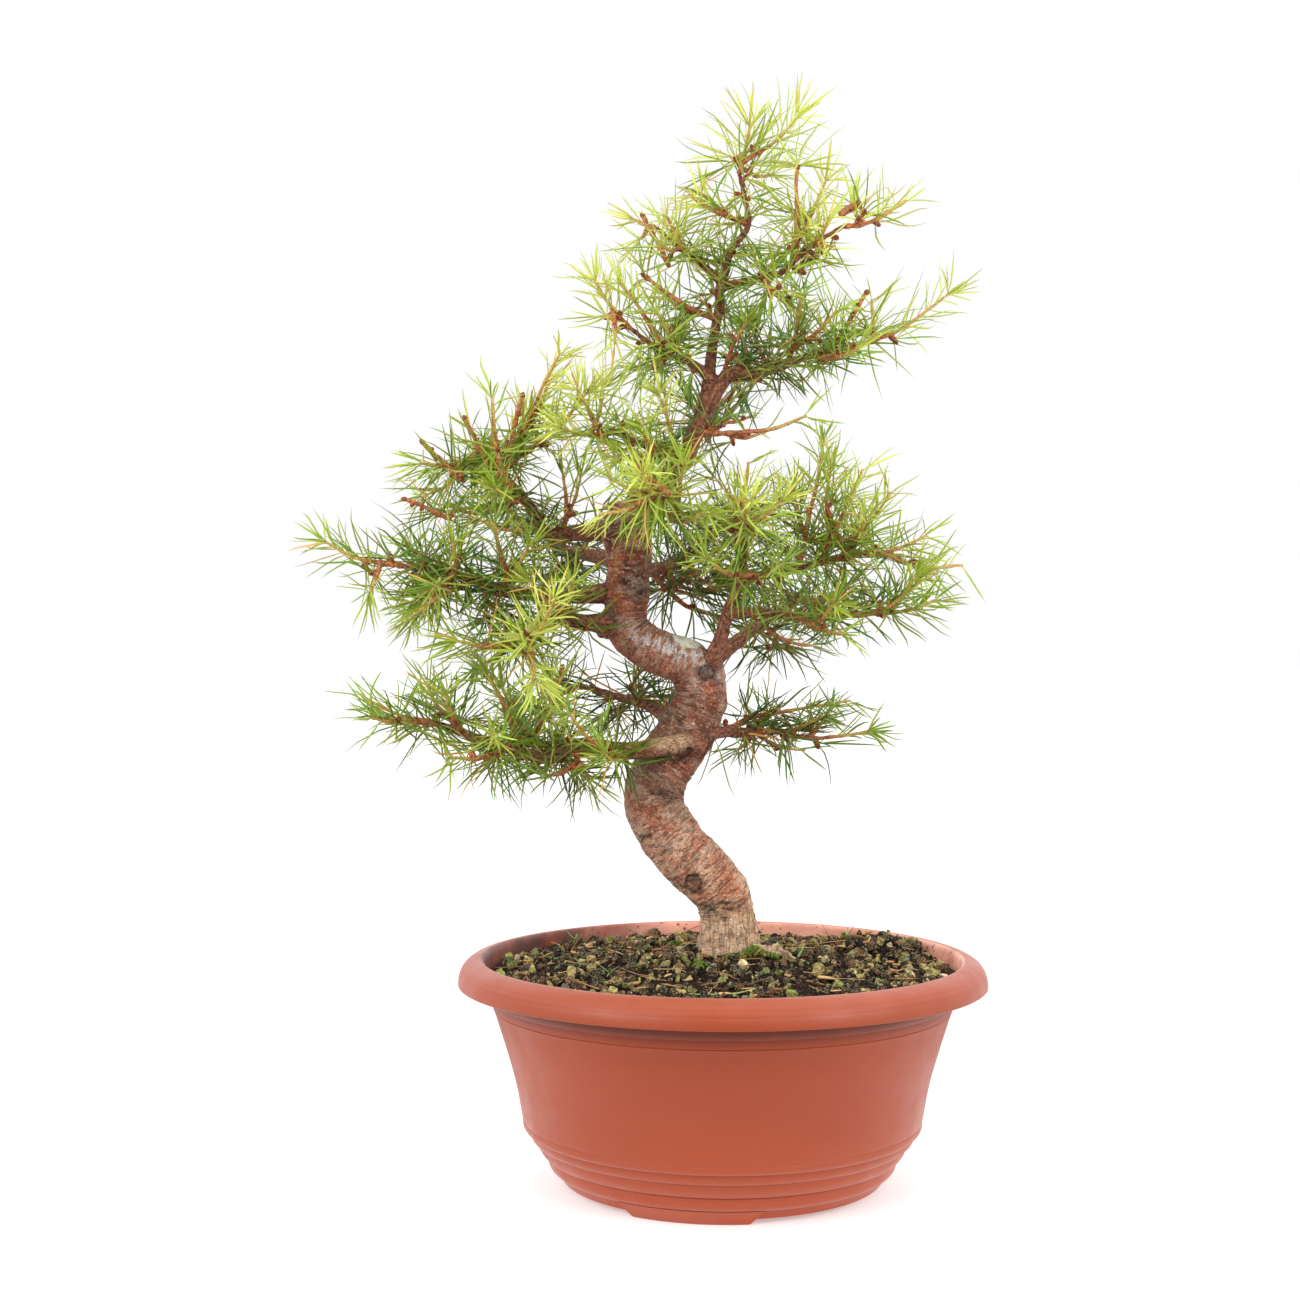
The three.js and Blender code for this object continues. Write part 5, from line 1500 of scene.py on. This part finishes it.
def lay_litter(soil, draw):
    """Dry fallen needles, and flakes of dry scale, on the soil."""
    straw = np.array([paint(214, 176, 120)[:3], paint(190, 142, 92)[:3], paint(138, 88, 54)[:3]])
    mass = Mass()
    for count, lengths, widths, curl in LITTER:
        angle = draw.uniform(0, 6.28, count)
        reach = (SOIL_RADIUS - 8) * np.sqrt(draw.uniform(0.03, 1, count))
        spots = np.stack([reach * np.cos(angle), reach * np.sin(angle), np.zeros(count)], 1)
        spots[:, 2] = [
            ground_height(soil, x, y) + heaped(x, y) + draw.uniform(1.6, 3.6) for x, y, _ in spots
        ]
        out = unit(np.column_stack([draw.normal(size=(count, 2)), draw.uniform(-0.12, 0.2, count)]))
        length = draw.uniform(*lengths, count)
        ends = spots[:, :2] + out[:, :2] * length[:, None]
        inside = np.hypot(*ends.T) < SOIL_RADIUS - 3
        spots, out, length = spots[inside], out[inside], length[inside]
        count = len(spots)
        spin = draw.uniform(0, 6, count)
        width = draw.uniform(*widths, count)[:, None]
        bend = draw.normal(0, curl, (count, 3)) * np.array([1, 1, 0.3]) * length[:, None]
        axes = axes_of(out, spin, width, 0.5, length[:, None])
        tint = straw[draw.choice(3, count, p=(0.4, 0.3, 0.3))]
        set_out(mass, STRAW, spots, axes, 0, bend, tint=tint)
    piece = mass.piece("dry_needles", [tinted("dry_straw", 0.7)])
    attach(piece, "root")


def lay_green(soil, draw):
    """Cushions of moss, seedlings and two blades of grass."""
    mass = Mass()
    for x, y, reach, tall, count in MOSS:
        angle = draw.uniform(0, 6.28, count)
        away = reach * np.sqrt(draw.random(count))
        spots = np.stack([x + away * np.cos(angle), y + away * np.sin(angle), np.zeros(count)], 1)
        dome = tall * np.sqrt(np.clip(1 - (away / reach) ** 2, 0, 1))
        spots[:, 2] = [ground_height(soil, p, q) + 0.6 for p, q, _ in spots] + dome
        out = np.column_stack([(spots[:, :2] - (x, y)) / reach, np.full(count, 1.1)])
        out = unit(out + draw.normal(0, 0.25, (count, 3)))
        spin = draw.uniform(0, 6, count)
        axes = axes_of(out, spin, 0.45, 1, draw.uniform(1.2, 2.2, count)[:, None])
        tint = np.array(paint(92, 116, 26)[:3]) * draw.uniform(0.5, 1.7, (count, 1))
        set_out(mass, NEEDLE, spots, axes, tint=tint)
    for x, y, tall, leaves in SEEDLINGS:
        ground = ground_height(soil, x, y)
        stem = [
            (x, y, ground, 0.5), (x + 1, y - 1, ground + tall * 0.6, 0.4),
            (x + 2, y - 1, ground + tall, 0.3),
        ]
        points, faces = tube(spline(stem, np.linspace(0, 1, 8)), 5)
        mass.add(points, faces, 0, tint=np.tile(paint(150, 170, 90)[:3], (len(points), 1)))
        root = np.tile(np.array(stem[-1][:3]), (leaves, 1))
        turn = np.arange(leaves) * 2 * math.pi / leaves + draw.uniform(0, 1)
        out = unit(np.stack([np.cos(turn), np.sin(turn), draw.uniform(0.2, 0.8, leaves)], 1))
        axes = axes_of(out, np.zeros(leaves), 0.9, 1 / 3, draw.uniform(7, 11, leaves)[:, None])
        tint = np.tile(np.array(paint(100, 126, 72)[:3]), (leaves, 1))
        set_out(mass, NEEDLE, root, axes, 0, draw.normal(0, 1.6, (leaves, 3)) - (0, 0, 1), tint=tint)
    for blade in BLADES:
        points, faces = tube(spline(blade, np.linspace(0, 1, 14)), 5)
        mass.add(points, faces, 0, tint=np.tile(paint(152, 178, 100)[:3], (len(points), 1)))
    piece = mass.piece("moss_and_seedlings", [tinted("fresh_green", 0.6, 0.15)])
    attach(piece, "root")


def make_soil():
    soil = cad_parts["soil"]
    soil.data.materials.clear()
    soil.data.materials.append(soil_mix())
    draw = np.random.default_rng(SEED + 1)
    lay_granules(soil, draw)
    lay_litter(soil, draw)
    lay_green(soil, draw)


# ------------------------------------------------------------------------------ studio


def make_world():
    """A room that is seen as pure white. Its light is weak from the front and strongest from above."""
    world = bpy.data.worlds.new("studio")
    world.use_nodes = True
    tree = world.node_tree

    def stretched(value, low, high, new_low, new_high):
        node = tree.nodes.new("ShaderNodeMapRange")
        tree.links.new(value, node.inputs["Value"])
        ends = {"From Min": low, "From Max": high, "To Min": new_low, "To Max": new_high}
        for name, number in ends.items():
            node.inputs[name].default_value = number
        return node.outputs["Result"]

    aim = tree.nodes.new("ShaderNodeSeparateXYZ")
    tree.links.new(tree.nodes.new("ShaderNodeTexCoord").outputs["Generated"], aim.inputs["Vector"])
    power = tree.nodes.new("ShaderNodeMath")
    tree.links.new(stretched(aim.outputs["Y"], -0.9, 0.05, ROOM_FRONT, ROOM_SIDES), power.inputs[0])
    tree.links.new(stretched(aim.outputs["Z"], 0, 1, 0, ROOM_TOP), power.inputs[1])
    seen = tree.nodes["Background"]
    seen.inputs["Color"].default_value = (1, 1, 1, 1)
    seen.inputs["Strength"].default_value = 1
    given = tree.nodes.new("ShaderNodeBackground")
    given.inputs["Color"].default_value = (1, 1, 1, 1)
    tree.links.new(power.outputs["Value"], given.inputs["Strength"])
    path = tree.nodes.new("ShaderNodeLightPath")
    mix = tree.nodes.new("ShaderNodeMixShader")
    tree.links.new(path.outputs["Is Camera Ray"], mix.inputs["Fac"])
    tree.links.new(given.outputs["Background"], mix.inputs[1])
    tree.links.new(seen.outputs["Background"], mix.inputs[2])
    tree.links.new(mix.outputs["Shader"], tree.nodes["World Output"].inputs["Surface"])
    bpy.context.scene.world = world


def floor_white():
    """A floor that glows a little near the bowl, and is seen as white all over."""
    f = Finish("floor_white", 0.9, 0.1)
    away = f.tree.nodes.new("ShaderNodeVectorMath")
    away.operation = "DISTANCE"
    f.feed(away.inputs[0], f.spot())
    away.inputs[1].default_value = AXIS
    near = f.scaled(away.outputs["Value"], FLOOR_REACH[1], FLOOR_REACH[0])
    f.colour(f.mix(near, (*[FLOOR_DULL] * 3, 1), (*[FLOOR_PALE] * 3, 1)))
    seen = f.add("ShaderNodeLightPath").outputs["Is Camera Ray"]
    far = f.math("MULTIPLY", f.math("MULTIPLY", seen, f.math("SUBTRACT", 1.0, near)), SEEN_FAR)
    close = f.math("ADD", f.math("MULTIPLY", seen, SEEN_NEAR - GIVEN_NEAR), GIVEN_NEAR)
    across = f.add("ShaderNodeSeparateXYZ", Vector=f.spot()).outputs["X"]
    aside = f.scaled(f.math("ABSOLUTE", f.math("SUBTRACT", across, float(AXIS[0])), 0.0), 0.15, 0.45)
    aside = f.math("MULTIPLY", f.math("MULTIPLY", aside, f.math("SUBTRACT", 1.0, seen)), GIVEN_ASIDE)
    glow = f.math("ADD", far, f.math("MULTIPLY", near, close))
    f.feed(f.shader.inputs["Emission Strength"], f.math("ADD", glow, aside))
    f.shader.inputs["Emission Color"].default_value = (1, 1, 1, 1)
    return f.material


def set_studio():
    scene = bpy.context.scene
    camera = bpy.data.cameras.new("camera")
    camera.lens = LENS
    camera.sensor_width = SENSOR
    viewer = bpy.data.objects.new("camera", camera)
    viewer.location = Vector(place((EYE[0], -EYE[2], EYE[1])))
    viewer.rotation_euler = (math.pi / 2, 0, 0)
    scene.collection.objects.link(viewer)
    scene.camera = viewer
    scene.view_settings.view_transform = "Standard"
    make_world()
    bpy.ops.object.select_all(action="DESELECT")
    bpy.ops.mesh.primitive_plane_add(size=FLOOR_SIZE, location=(0, 0, -FLOOR_DROP))
    floor = bpy.context.object
    floor.name = "floor"
    floor.data.materials.append(floor_white())
    for offset, size, power in LAMPS:
        bpy.ops.object.light_add(type="AREA", location=AXIS + offset)
        lamp = bpy.context.object
        lamp.data.shape = "DISK"
        lamp.data.size = size
        lamp.data.energy = power
        aim = Vector(AXIS) + Vector(LAMPS_AIM) - lamp.location
        lamp.rotation_euler = aim.to_track_quat("-Z", "Y").to_euler()


set_studio()
make_bowl()
make_wood()
make_soil()
make_sprays()
